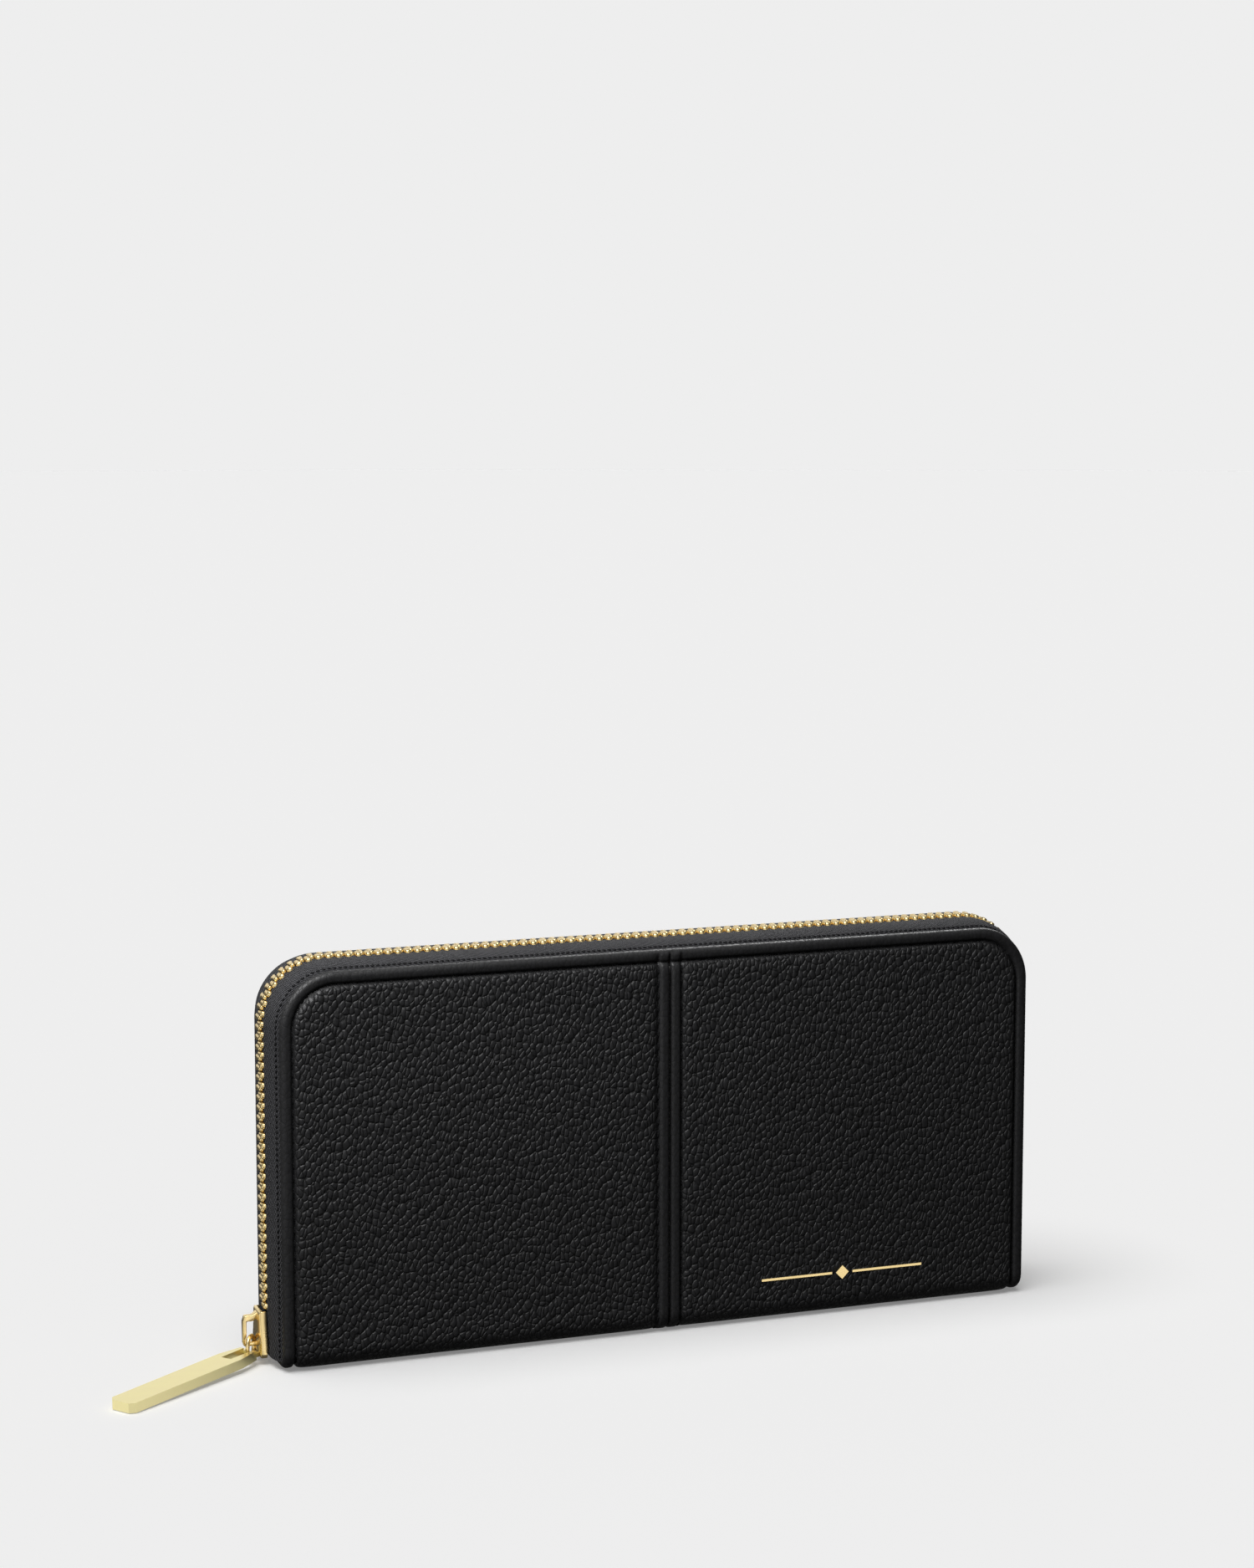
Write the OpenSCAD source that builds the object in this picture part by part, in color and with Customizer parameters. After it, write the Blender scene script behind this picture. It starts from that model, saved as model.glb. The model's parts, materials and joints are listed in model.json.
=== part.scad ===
// Long zip around wallet that stands on its spine.
// X runs along the wallet, -Y is the front cover, +Z is up.
// The origin is at the middle of the spine, on the surface it stands on.

/* [Body] */
// Length of the covers from end to end
cover_len = 200; // [160:1:240]
// Height of the covers above the surface the spine stands on
cover_h = 98; // [92:1:120]
// Thickness of the closed wallet over the leather
body_t = 27; // [26:0.5:40]
// Radius of the two top corners of each cover
corner_r = 14; // [10:1:20]
// Radius of the bend between a cover and the spine
bend_r = 5; // [4:0.5:6]
// Slit in the bend at which the skin folds when a cover opens
fold_gap = 0.3; // [0.2:0.05:0.6]

/* [Covers] */
// Thickness of the leather
leather_t = 1.1; // [0.8:0.1:1.5]
// Width of the flat border outside the stitch line
border_w = 3.2; // [2:0.1:5]
// Thickness of the foam under each leather panel
foam_t = 0.8; // [0.4:0.1:1.5]
// Thickness of the cover and spine boards
board_t = 1.2; // [0.8:0.1:2]
// Thickness of the lining
lining_t = 0.4; // [0.2:0.1:0.8]
// Width of one rolled edge beside the centre seam
seam_roll_w = 2.6; // [1.5:0.1:3.5]
// Height that a rolled edge stands out of the panel
seam_roll_h = 0.3; // [0.1:0.05:0.6]
// Slit between the two panels at the centre seam
seam_gap = 0.3; // [0.1:0.05:0.6]

/* [Foil mark] */
// Width of the foil mark on the front
mark_w = 45; // [20:1:60]
// Height of the foil mark
mark_h = 3.6; // [2:0.1:8]
// Distance from the centre seam to the near end of the mark
mark_x = 25; // [10:1:35]
// Height of the middle of the mark
mark_z = 10.8; // [9:0.1:30]
// Thickness of the foil
foil_t = 0.12; // [0.08:0.01:0.3]

/* [Card slots] */
// Number of card slot strips on each cover
slot_count = 4; // [2:1:5]
// Thickness of one strip
slot_t = 0.45; // [0.3:0.05:0.8]
// Top edge of the tallest strip
slot_top = 88; // [75:1:88]
// Step down from one strip to the next
slot_step = 12; // [8:1:15]
// Distance from a strip's end to the end of the cover
slot_inset = 9; // [8:0.5:14]

/* [Coin pocket] */
// Height of the top edge of the pocket walls
pocket_top = 75; // [60:1:77]
// Half thickness of the pocket over its walls
pocket_half = 3.3; // [3.3:0.1:4]
// Thickness of a pocket wall
wall_t = 0.6; // [0.4:0.1:0.8]
// Distance from a wall's end to the end of the covers
wall_inset = 8; // [7.5:0.5:14]
// Distance from a sewn pocket end to the wall's end
pocket_end_inset = 4; // [3:0.5:8]

/* [Main zip] */
// Length of zip between teeth of the same row
pitch = 2.5; // [2.2:0.1:3.2]
// Width of a tooth along the zip
tooth_w = 1.0; // [0.7:0.05:1.1]
// Height of a tooth
tooth_h = 2.2; // [1.8:0.1:2.6]
// Distance from the middle of the zip to the foot of a tooth
tooth_foot = 2.9; // [2.5:0.1:3.5]
// Distance that a tooth reaches past the middle
tooth_lap = 0.9; // [0.5:0.1:1.2]
// Distance from the cover's edge out to the middle of the teeth
zip_out = 1.2; // [0.8:0.1:2]
// Thickness of the zip tape
tape_t = 0.5; // [0.3:0.05:0.5]
// Width of the tape sewn against the cover
tape_sewn = 5.1; // [4:0.1:5.5]
// Distance from the middle of the zip to the tape's beaded edge
tape_edge = 1.3; // [1.1:0.1:1.6]

/* [Slider] */
// Length of the slider along the zip
slider_len = 11.5; // [10:0.5:13]
// Half width across the shoulders
slider_half = 4.4; // [4:0.1:4.6]
// Half width at the mouth
mouth_half = 3.4; // [3.2:0.1:3.8]
// Thickness of each slider plate
plate_t = 0.8; // [0.6:0.1:1.2]
// Clearance between a tooth and a plate
plate_gap = 0.25; // [0.2:0.05:0.5]
// Height of the slider's lower end when the zip is closed
slider_z = 1.6; // [1.2:0.1:4]

/* [Pull] */
// Diameter of the link's wire
wire_d = 1.0; // [0.8:0.05:1.1]
// Radius of the link at the middle of its wire
link_r = 2.7; // [2.6:0.05:3]
// Length of the pull bar from its eye to its far end
bar_len = 45; // [30:1:55]
// Width of the pull bar
bar_w = 7.6; // [6:0.1:9]
// Width of the pull bar at its eye
eye_w = 5.0; // [4.8:0.1:5.6]
// Thickness of the pull bar
bar_t = 2.4; // [1.8:0.1:2.6]
// Width of the slot in the pull bar
bar_slot_w = 3.0; // [3:0.1:3.2]
// Length of the slot in the pull bar
bar_slot_len = 8; // [6.5:0.5:9]
// Angle that the pull bar lies forward of the wallet's line
bar_turn = 34.5; // [30:0.5:40]
// Height of the pull bar's far end above the surface
bar_rest = 0.15; // [0.05:0.05:0.4]

/* [Coin zip] */
// Length of coin zip between teeth of the same row
coin_pitch = 2.0; // [1.8:0.1:2.6]
// Width of a coin tooth along the zip
coin_tooth_w = 0.8; // [0.5:0.05:0.85]
// Height of a coin tooth
coin_tooth_h = 1.6; // [1.2:0.1:2]
// Distance from the middle of the coin zip to the foot of a tooth
coin_foot = 2.1; // [1.8:0.1:2.3]
// Length of the coin slider
coin_slider_len = 7; // [6:0.5:9]
// Travel of the coin slider
coin_travel = 140; // [80:5:140]
// Length of the coin zip's pull
coin_pull_len = 14; // [8:0.5:14]

/* [Hidden] */
$fn = 48;

LEATHER = [0.09, 0.09, 0.095];
LINING = [0.16, 0.15, 0.16];
BOARD = [0.55, 0.5, 0.42];
FOAM = [0.8, 0.8, 0.76];
TAPE = [0.05, 0.05, 0.055];
GOLD = [0.86, 0.7, 0.36];
PALE_GOLD = [0.9, 0.84, 0.6];

// Cover layers, from the outer face of the front panel inwards
end_x = cover_len / 2;
skin_y = -body_t / 2;
foam_y = skin_y + leather_t;
board_y = foam_y + foam_t;
border_y = board_y - leather_t;
lining_y = board_y + board_t;
slots_y = lining_y + lining_t;
room_y = slots_y + slot_count * slot_t;
cover_z = bend_r;
filling_z = bend_r + 1;
tape_y = lining_y + tape_t / 2;

// Spine layers, from the surface up
spine_half = body_t / 2 - bend_r;
spine_board_z = leather_t;
spine_lining_z = spine_board_z + board_t;
pocket_z = spine_lining_z + lining_t;
spine_inset = 2;

// Zip: a small lead keeps the first tooth out of the slider's mouth
mouth_lead = 1.0;
chain_z = slider_z + slider_len + mouth_lead;
tab_top = 16;
stop_len = 2.4;
stop_t = 0.35;
chain_end_z = tab_top + stop_len + 1.2;
tape_left_z = 2.2;
tape_right_z = bend_r + fold_gap;
tape_turn = 0.9;
tape_flat = slider_half + 0.2;
tape_steps = 6;
side_run = cover_h - corner_r - chain_z;
arc_run = PI / 2 * (corner_r + zip_out);
top_run = cover_len - 2 * corner_r;
right_run = cover_h - corner_r - chain_end_z;
chain_len = side_run + top_run + right_run + 2 * arc_run;
tooth_count = floor(chain_len / pitch);

// Slider, link and pull
wedge_gap = 0.7;
flange_play = 0.8;
half_gap = tooth_h / 2 + plate_gap;
plate_out = end_x + zip_out + half_gap + plate_t;
window_depth = 2.9;
bail_bar_t = 0.9;
bail_w = 1.2;
leg_low = 2.9;
leg_span = 6.8;
leg_r = 0.5;
link_turn = 60;
link_side = 1.1;
link_rise = -0.5;
leg_z = slider_z + leg_low;
leg_at = [-(plate_out + window_depth / 2), 0, leg_z];
link_dir = [-cos(link_turn), -sin(link_turn), 0];
link_at = leg_at + link_side * link_dir + [0, 0, link_rise];
eye_r = 0.55;
eye_gap = 0.1;
eye_orbit = link_r - wire_d / 2 - eye_r - eye_gap;
eye_angle = -65;
eye_at = link_at + eye_orbit * (cos(eye_angle) * link_dir + [0, 0, sin(eye_angle)]);
bar_slope = asin((eye_at[2] - bar_t / 2 - bar_rest) / bar_len);
bar_taper = 7;
bar_corner = 1.2;

// Coin zip
coin_rise = 0.3;
coin_tape_t = 0.4;
coin_tape_edge = 1.3;
coin_lap = 0.6;
coin_hem = 6;
coin_plate_t = 0.6;
coin_half = 2.9;
coin_mouth = 2.6;
coin_half_gap = coin_tooth_h / 2 + 0.25;
coin_z = pocket_top + coin_rise + coin_half_gap + coin_plate_t;
coin_top = coin_z + coin_half_gap + coin_plate_t;
coin_x = -(coin_travel / 2);
coin_end_x = end_x - wall_inset - pocket_end_inset - 2.5;
coin_chain_x = coin_x + coin_slider_len / 2 + 0.8;
coin_count = floor((coin_end_x - 1.5 - coin_chain_x) / coin_pitch);
coin_window = 1.7;
coin_bail_t = 0.7;
coin_bail_w = 1.2;
coin_leg = 0.7;
coin_bail_span = 4.2;
coin_eye_r = 0.45;
coin_pull_t = 0.9;
coin_pull_w = 4.4;
coin_hole_w = 2.0;
coin_hole_len = 3.4;
coin_pull_z = coin_top + coin_window / 2;
coin_pull_x = coin_x - coin_bail_span / 2 + coin_leg + coin_eye_r + 0.2;

// ---- shared shapes ----

// Cover outline in (x, z), pulled in by inset, from height low upwards
module outline(inset, low) {
    flat_half = end_x - corner_r;
    intersection() {
        union() {
            translate([-(end_x - inset), 0])
                square([2 * (end_x - inset), cover_h - corner_r]);
            translate([-flat_half, 0])
                square([2 * flat_half, cover_h - inset]);
            for (side = [-1, 1])
                translate([side * flat_half, cover_h - corner_r])
                    circle(r = corner_r - inset, $fn = 96);
        }
        translate([-cover_len, low])
            square([2 * cover_len, cover_h]);
    }
}

// The part of a cover outline on one side of the centre seam
module half_outline(side, inset, low) {
    intersection() {
        outline(inset, low);
        translate([side > 0 ? seam_gap / 2 : -cover_len - seam_gap / 2, 0])
            square([cover_len, 2 * cover_h]);
    }
}

// Stands a flat (x, z) outline up, from y to y + t
module slab(y, t) {
    translate([0, y + t, 0])
        rotate([90, 0, 0])
            linear_extrude(t)
                children();
}

// Sweeps an (outward, y) section round the covers' ends and top edge
module round_edge(left_z, right_z) {
    for (side = [-1, 1]) {
        low = side < 0 ? left_z : right_z;
        mirror([side < 0 ? 1 : 0, 0, 0]) {
            translate([end_x, 0, low])
                linear_extrude(cover_h - corner_r - low)
                    children();
            translate([end_x - corner_r, 0, cover_h - corner_r])
                rotate([90, 0, 0])
                    rotate_extrude(angle = 90, $fn = 96)
                        translate([corner_r, 0])
                            mirror([0, 1])
                                children();
        }
    }
    translate([end_x - corner_r, 0, cover_h])
        rotate([0, -90, 0])
            linear_extrude(top_run)
                children();
}

// Places a child, built at the end face with +X outward, a length s along the chain
module at_station(s) {
    arc_start = side_run;
    top_start = arc_start + arc_run;
    arc_two = top_start + top_run;
    right_start = arc_two + arc_run;
    if (s < arc_start)
        translate([-end_x, 0, chain_z + s])
            mirror([1, 0, 0])
                children();
    else if (s < top_start)
        mirror([1, 0, 0])
            at_corner(90 * (s - arc_start) / arc_run)
                children();
    else if (s < arc_two)
        translate([-end_x + corner_r + s - top_start, 0, cover_h])
            rotate([0, -90, 0])
                children();
    else if (s < right_start)
        at_corner(90 - 90 * (s - arc_two) / arc_run)
            children();
    else
        translate([end_x, 0, cover_h - corner_r - (s - right_start)])
            children();
}

module at_corner(angle) {
    translate([end_x - corner_r, 0, cover_h - corner_r])
        rotate([0, -angle, 0])
            translate([corner_r, 0, 0])
                children();
}

// Ribbon of thickness t that follows a list of (outward, y) points
function unit(v) = v / norm(v);
function normal(p, i) =
    let (a = p[max(i - 1, 0)], b = p[min(i + 1, len(p) - 1)], d = unit(b - a))
    [-d[1], d[0]];
function ribbon(p, t) = concat(
    [for (i = [0 : len(p) - 1]) p[i] + normal(p, i) * t / 2],
    [for (i = [len(p) - 1 : -1 : 0]) p[i] - normal(p, i) * t / 2]);

// Jaws of a tooth that grip the tape edge, and the head past the middle
module tooth_section(out, h, foot, edge, lap, grip_t) {
    difference() {
        translate([out - h / 2, -foot])
            square([h, foot + lap]);
        translate([out - grip_t / 2, -foot - 1])
            square([grip_t, foot + 1 - edge]);
    }
}

// Slider plan in (y, along): shoulders at 0, mouth at len
module slider_plan(len, half, mouth, inset, run_out) {
    w = half - inset;
    m = mouth - inset;
    polygon([
        [-w + 0.6, -run_out], [w - 0.6, -run_out], [w, 0.9], [w, len * 0.36],
        [m, len * 0.8], [m, len + run_out], [-m, len + run_out],
        [-m, len * 0.8], [-w, len * 0.36], [-w, 0.9]
    ]);
}

// Slider with +Z outward and +Y along the zip, its shoulders at y = 0
module slider_shell(len, half, mouth, gap, t, wedge_half, flange_gap) {
    flange_w = 0.7;
    for (side = [0, 1])
        mirror([0, 0, side]) {
            translate([0, 0, gap])
                linear_extrude(t)
                    slider_plan(len, half, mouth, 0, 0);
            translate([0, 0, flange_gap / 2])
                linear_extrude(gap - flange_gap / 2)
                    difference() {
                        slider_plan(len, half, mouth, 0, 0);
                        slider_plan(len, half, mouth, flange_w, 1);
                    }
        }
    translate([0, 0, -gap])
        linear_extrude(2 * gap)
            polygon([[-wedge_half, 0.3], [wedge_half, 0.3], [0, len * 0.42]]);
}

// Turns a slider built flat so that it rides on the wallet's left end
module on_left_end() {
    translate([-(end_x + zip_out), 0, slider_z])
        rotate([90, 0, -90])
            children();
}

// ---- spine and core ----

module spine_section() {
    difference() {
        union() {
            translate([-spine_half, 0])
                square([2 * spine_half, bend_r]);
            for (side = [-1, 1])
                translate([side * spine_half, bend_r])
                    circle(r = bend_r, $fn = 64);
        }
        translate([-spine_half, leather_t])
            square([2 * spine_half, 2 * bend_r]);
        for (side = [-1, 1])
            translate([side * spine_half, bend_r])
                circle(r = bend_r - leather_t, $fn = 64);
        translate([-body_t, bend_r - fold_gap])
            square([2 * body_t, 2 * bend_r]);
    }
}

module spine_leather(side) {
    color(LEATHER)
        translate([side > 0 ? 0 : -end_x, 0, 0])
            rotate([90, 0, 90])
                linear_extrude(end_x)
                    spine_section();
}

module spine_leather_left() { spine_leather(-1); }
module spine_leather_right() { spine_leather(1); }

module spine_layer(z, t) {
    translate([-end_x + spine_inset, -spine_half, z])
        cube([cover_len - 2 * spine_inset, 2 * spine_half, t]);
}

module spine_board() { color(BOARD) spine_layer(spine_board_z, board_t); }
module spine_lining() { color(LINING) spine_layer(spine_lining_z, lining_t); }

wall_half_len = end_x - wall_inset;
pocket_half_len = wall_half_len - pocket_end_inset;

module pocket_wall() {
    color(LINING)
        translate([-wall_half_len, -pocket_half, pocket_z])
            cube([2 * wall_half_len, wall_t, pocket_top - pocket_z]);
}

module coin_pocket_front_wall() { pocket_wall(); }
module coin_pocket_rear_wall() { mirror([0, 1, 0]) pocket_wall(); }

module pocket_end(side) {
    inner = pocket_half - wall_t;
    color(LINING)
        translate([side * pocket_half_len - wall_t / 2, -inner, pocket_z])
            cube([wall_t, 2 * inner, pocket_top - coin_hem - pocket_z]);
}

module coin_pocket_left_end() { pocket_end(-1); }
module coin_pocket_right_end() { pocket_end(1); }

module coin_pocket_floor() {
    inner = pocket_half - wall_t;
    color(LINING)
        translate([-pocket_half_len + wall_t / 2, -inner, pocket_z])
            cube([2 * pocket_half_len - wall_t, 2 * inner, wall_t]);
}

// Tape sewn outside a wall's top edge and turned in above it
module coin_tape() {
    outer = pocket_half + coin_tape_t;
    hem_z = pocket_top - coin_hem;
    color(TAPE)
        translate([-pocket_half_len, 0, 0])
            rotate([90, 0, 90])
                linear_extrude(2 * pocket_half_len) {
                    translate([-outer, hem_z])
                        square([coin_tape_t, coin_z + coin_tape_t / 2 - hem_z]);
                    translate([-outer, coin_z - coin_tape_t / 2])
                        square([outer - coin_tape_edge, coin_tape_t]);
                }
}

module coin_zip_tape_front() { coin_tape(); }
module coin_zip_tape_rear() { mirror([0, 1, 0]) coin_tape(); }

module coin_teeth(shift) {
    color(GOLD)
        for (i = [0 : coin_count - 1])
            translate([coin_chain_x + (i + shift) * coin_pitch, 0, coin_z])
                rotate([0, -90, 0])
                    linear_extrude(coin_tooth_w, center = true)
                        tooth_section(0, coin_tooth_h, coin_foot, coin_tape_edge,
                            coin_lap, coin_tape_t);
}

module coin_teeth_front() { coin_teeth(0); }
module coin_teeth_rear() { mirror([0, 1, 0]) coin_teeth(0.5); }

module coin_zip_stops() {
    color(GOLD)
        for (x = [coin_x - coin_slider_len / 2 - 2.4, coin_end_x])
            translate([x, -coin_foot, coin_z + coin_tape_t / 2])
                cube([1.4, 2 * coin_foot, 0.6]);
}

// Gusset: a strip folded inwards between a cover's lining and the pocket wall
module gusset() {
    outer = [-end_x + slot_inset - 1.5, slots_y + 0.3];
    turn = [-end_x + slot_inset - 1.0, room_y + 0.55];
    tip_x = -end_x + slot_inset + 7;
    tip_y = (room_y - pocket_half) / 2;
    back = [-wall_half_len + 1, -pocket_half - 0.9];
    foot = [-wall_half_len + 0.3, -pocket_half - 0.25];
    color(LINING)
        translate([0, 0, filling_z + 2])
            linear_extrude(pocket_top - coin_hem - filling_z - 4)
                polygon(ribbon([outer, turn, [tip_x, tip_y - 0.4], [tip_x, tip_y + 0.4],
                    back, foot], 0.3));
}

module gusset_front_left() { gusset(); }
module gusset_front_right() { mirror([1, 0, 0]) gusset(); }
module gusset_rear_left() { mirror([0, 1, 0]) gusset(); }
module gusset_rear_right() { mirror([0, 1, 0]) mirror([1, 0, 0]) gusset(); }

// Leather tab folded over the start of the zip at the right end
module zip_end_tab() {
    tab_half = 5;
    tab_in = end_x + zip_out + tape_t / 2 + 0.25;
    foot_z = spine_board_z;
    color(LEATHER)
        translate([0, tab_half, 0])
            rotate([90, 0, 0])
                linear_extrude(2 * tab_half)
                    polygon([
                        [end_x, foot_z], [tab_in + leather_t, foot_z],
                        [tab_in + leather_t, tab_top - 0.5], [tab_in + leather_t - 0.5, tab_top],
                        [tab_in, tab_top], [tab_in, foot_z + leather_t],
                        [end_x, foot_z + leather_t]
                    ]);
}

module zip_bottom_stop() {
    stop_half = tape_edge - 0.3;
    tab_in = end_x + zip_out + tape_t / 2 + 0.25;
    color(GOLD)
        translate([tab_in - 1.4, -stop_half, tab_top - 1.2])
            cube([1.4, 2 * stop_half, stop_len + 1.2]);
}

// ---- covers ----

module cover_leather(side) {
    roll_r = (seam_roll_w * seam_roll_w / 4 + seam_roll_h * seam_roll_h) / (2 * seam_roll_h);
    roll_mid = seam_gap / 2 + seam_roll_w / 2;
    color(LEATHER) {
        slab(skin_y, leather_t)
            half_outline(side, border_w, cover_z);
        slab(border_y, leather_t)
            difference() {
                half_outline(side, 0, cover_z);
                outline(border_w + leather_t, 0);
            }
        slab(border_y, lining_y - border_y)
            difference() {
                half_outline(side, 0, cover_z);
                outline(leather_t, 0);
            }
        intersection() {
            translate([side * roll_mid, skin_y - seam_roll_h + roll_r, cover_z])
                cylinder(r = roll_r, h = cover_h - border_w - cover_z, $fn = 96);
            translate([side > 0 ? seam_gap / 2 : -seam_gap / 2 - seam_roll_w,
                    skin_y - seam_roll_h, cover_z])
                cube([seam_roll_w, seam_roll_h + leather_t / 2, cover_h - border_w - cover_z]);
        }
    }
}

module cover_foam() {
    color(FOAM)
        slab(foam_y, foam_t)
            outline(border_w + leather_t, filling_z);
}

module cover_board() {
    color(BOARD)
        slab(board_y, board_t)
            outline(leather_t, filling_z);
}

module cover_lining() {
    color(LINING)
        slab(lining_y, lining_t)
            outline(tape_turn + tape_sewn + 0.1, filling_z);
}

// Card slot strip n, counted from the cover inwards
module card_slot(n) {
    strip_top = slot_top - (n - 1) * slot_step;
    if (n <= slot_count)
        color(LINING)
            slab(slots_y + (n - 1) * slot_t, slot_t)
                intersection() {
                    outline(slot_inset, filling_z + 1);
                    translate([-cover_len, 0])
                        square([2 * cover_len, strip_top]);
                }
}

function tape_points() = concat(
    [[-tape_turn - tape_sewn, tape_y]],
    [for (i = [0 : tape_steps])
        let (a = 90 * i / tape_steps)
        [-tape_turn + (zip_out + tape_turn) * sin(a), -tape_flat + (tape_y + tape_flat) * cos(a)]],
    [[zip_out, -tape_edge]]);

module zip_tape() {
    color(TAPE)
        round_edge(tape_left_z, tape_right_z)
            polygon(ribbon(tape_points(), tape_t));
}

module teeth(shift) {
    color(GOLD)
        for (i = [0 : tooth_count - 1])
            at_station((i + shift) * pitch)
                linear_extrude(tooth_w, center = true)
                    tooth_section(zip_out, tooth_h, tooth_foot, tape_edge, tooth_lap, tape_t);
}

// Stop clamped on a tape inside the closed slider's shoulders
module top_stop() {
    color(GOLD)
        translate([-end_x - zip_out, -tooth_foot, slider_z + 1])
            for (side = [-1, 1])
                translate([side > 0 ? tape_t / 2 : -tape_t / 2 - stop_t, 0, 0])
                    cube([stop_t, tooth_foot - tape_edge - 0.4, 2]);
}

module front_leather_left() { cover_leather(-1); }
module front_leather_right() { cover_leather(1); }
module front_foam() { cover_foam(); }
module front_board() { cover_board(); }
module front_lining() { cover_lining(); }
module front_card_slot_1() { card_slot(1); }
module front_card_slot_2() { card_slot(2); }
module front_card_slot_3() { card_slot(3); }
module front_card_slot_4() { card_slot(4); }
module front_zip_tape() { zip_tape(); }
module front_teeth() { teeth(0); }
module front_top_stop() { top_stop(); }

// Plain generic mark: a row of bars broken by a lozenge
module foil_mark() {
    bar_h = mark_h / 6;
    gem = mark_h / 2;
    wing = mark_w / 2 - 1.6 * gem;
    color(GOLD)
        slab(skin_y - foil_t, foil_t)
            translate([mark_x + mark_w / 2, mark_z]) {
                polygon([[-gem, 0], [0, -gem], [gem, 0], [0, gem]]);
                for (side = [-1, 1])
                    translate([side * (mark_w - wing) / 2 - wing / 2, -bar_h / 2])
                        square([wing, bar_h]);
            }
}

module rear_leather_left() { mirror([0, 1, 0]) cover_leather(-1); }
module rear_leather_right() { mirror([0, 1, 0]) cover_leather(1); }
module rear_foam() { mirror([0, 1, 0]) cover_foam(); }
module rear_board() { mirror([0, 1, 0]) cover_board(); }
module rear_lining() { mirror([0, 1, 0]) cover_lining(); }
module rear_card_slot_1() { mirror([0, 1, 0]) card_slot(1); }
module rear_card_slot_2() { mirror([0, 1, 0]) card_slot(2); }
module rear_card_slot_3() { mirror([0, 1, 0]) card_slot(3); }
module rear_card_slot_4() { mirror([0, 1, 0]) card_slot(4); }
module rear_zip_tape() { mirror([0, 1, 0]) zip_tape(); }
module rear_teeth() { mirror([0, 1, 0]) teeth(0.5); }
module rear_top_stop() { mirror([0, 1, 0]) top_stop(); }

// ---- main slider, link and pull ----

module slider_body() {
    color(GOLD)
        on_left_end()
            slider_shell(slider_len, slider_half, mouth_half, half_gap, plate_t,
                tape_edge - wedge_gap, tape_t + flange_play);
}

// Bail: an outer bar on two round legs, leaving a window for the link
module slider_bail() {
    color(GOLD) {
        for (z = [leg_z, leg_z + leg_span])
            translate([-plate_out, 0, z])
                rotate([0, -90, 0])
                    cylinder(r = leg_r, h = window_depth + bail_bar_t / 2, $fn = 32);
        translate([-(plate_out + window_depth + bail_bar_t), -bail_w / 2, leg_z - leg_r])
            cube([bail_bar_t, bail_w, leg_span + 2 * leg_r]);
    }
}

module pull_link() {
    color(GOLD)
        translate(link_at)
            rotate([90, 0, link_turn])
                rotate_extrude($fn = 64)
                    translate([link_r, 0])
                        circle(r = wire_d / 2, $fn = 24);
}

// Pull bar plan: x runs from the eye to the far end
module bar_plan() {
    difference() {
        polygon([
            [0, -eye_w / 2], [bar_taper, -bar_w / 2], [bar_len - bar_corner, -bar_w / 2],
            [bar_len, -bar_w / 2 + bar_corner], [bar_len, bar_w / 2 - bar_corner],
            [bar_len - bar_corner, bar_w / 2], [bar_taper, bar_w / 2], [0, eye_w / 2]
        ]);
        translate([eye_r, -bar_slot_w / 2])
            square([bar_slot_len, bar_slot_w]);
        translate([-1, -eye_w])
            square([1 + eye_r, 2 * eye_w]);
    }
}

module pull_bar() {
    color(PALE_GOLD)
        translate(eye_at)
            rotate([0, 0, 180 + bar_turn])
                rotate([0, bar_slope, 0]) {
                    translate([0, 0, -bar_t / 2])
                        linear_extrude(bar_t)
                            bar_plan();
                    translate([0, eye_w / 2, 0])
                        rotate([90, 0, 0])
                            cylinder(r = eye_r, h = eye_w, $fn = 32);
                    for (side = [-1, 1])
                        translate([0, side * (eye_w + bar_slot_w) / 4, 0])
                            cube([2 * eye_r + 0.6, (eye_w - bar_slot_w) / 2, 2 * eye_r],
                                center = true);
                }
}

// ---- coin slider and its pull ----

module coin_slider_body() {
    color(GOLD)
        translate([coin_x - coin_slider_len / 2, 0, coin_z])
            rotate([0, 0, -90])
                slider_shell(coin_slider_len, coin_half, coin_mouth, coin_half_gap,
                    coin_plate_t, coin_tape_edge - wedge_gap, coin_tape_t + flange_play);
}

module coin_slider_bail() {
    color(GOLD) {
        for (side = [-1, 1])
            translate([coin_x + side * (coin_bail_span - coin_leg) / 2 - coin_leg / 2,
                    -coin_bail_w / 2, coin_top])
                cube([coin_leg, coin_bail_w, coin_window + coin_bail_t]);
        translate([coin_x - coin_bail_span / 2, -coin_bail_w / 2, coin_top + coin_window])
            cube([coin_bail_span, coin_bail_w, coin_bail_t]);
    }
}

module coin_pull() {
    far = coin_pull_w / 2;
    color(GOLD)
        translate([coin_pull_x, 0, coin_pull_z]) {
            translate([0, coin_pull_w / 2, 0])
                rotate([90, 0, 0])
                    cylinder(r = coin_eye_r, h = coin_pull_w, $fn = 32);
            translate([0, 0, -coin_pull_t / 2])
                linear_extrude(coin_pull_t)
                    difference() {
                        union() {
                            translate([-coin_pull_len + far, -coin_pull_w / 2])
                                square([coin_pull_len - far, coin_pull_w]);
                            translate([-coin_pull_len + far, 0])
                                circle(r = far);
                        }
                        translate([-coin_hole_len, -coin_hole_w / 2])
                            square([coin_hole_len, coin_hole_w]);
                    }
        }
}

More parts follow.
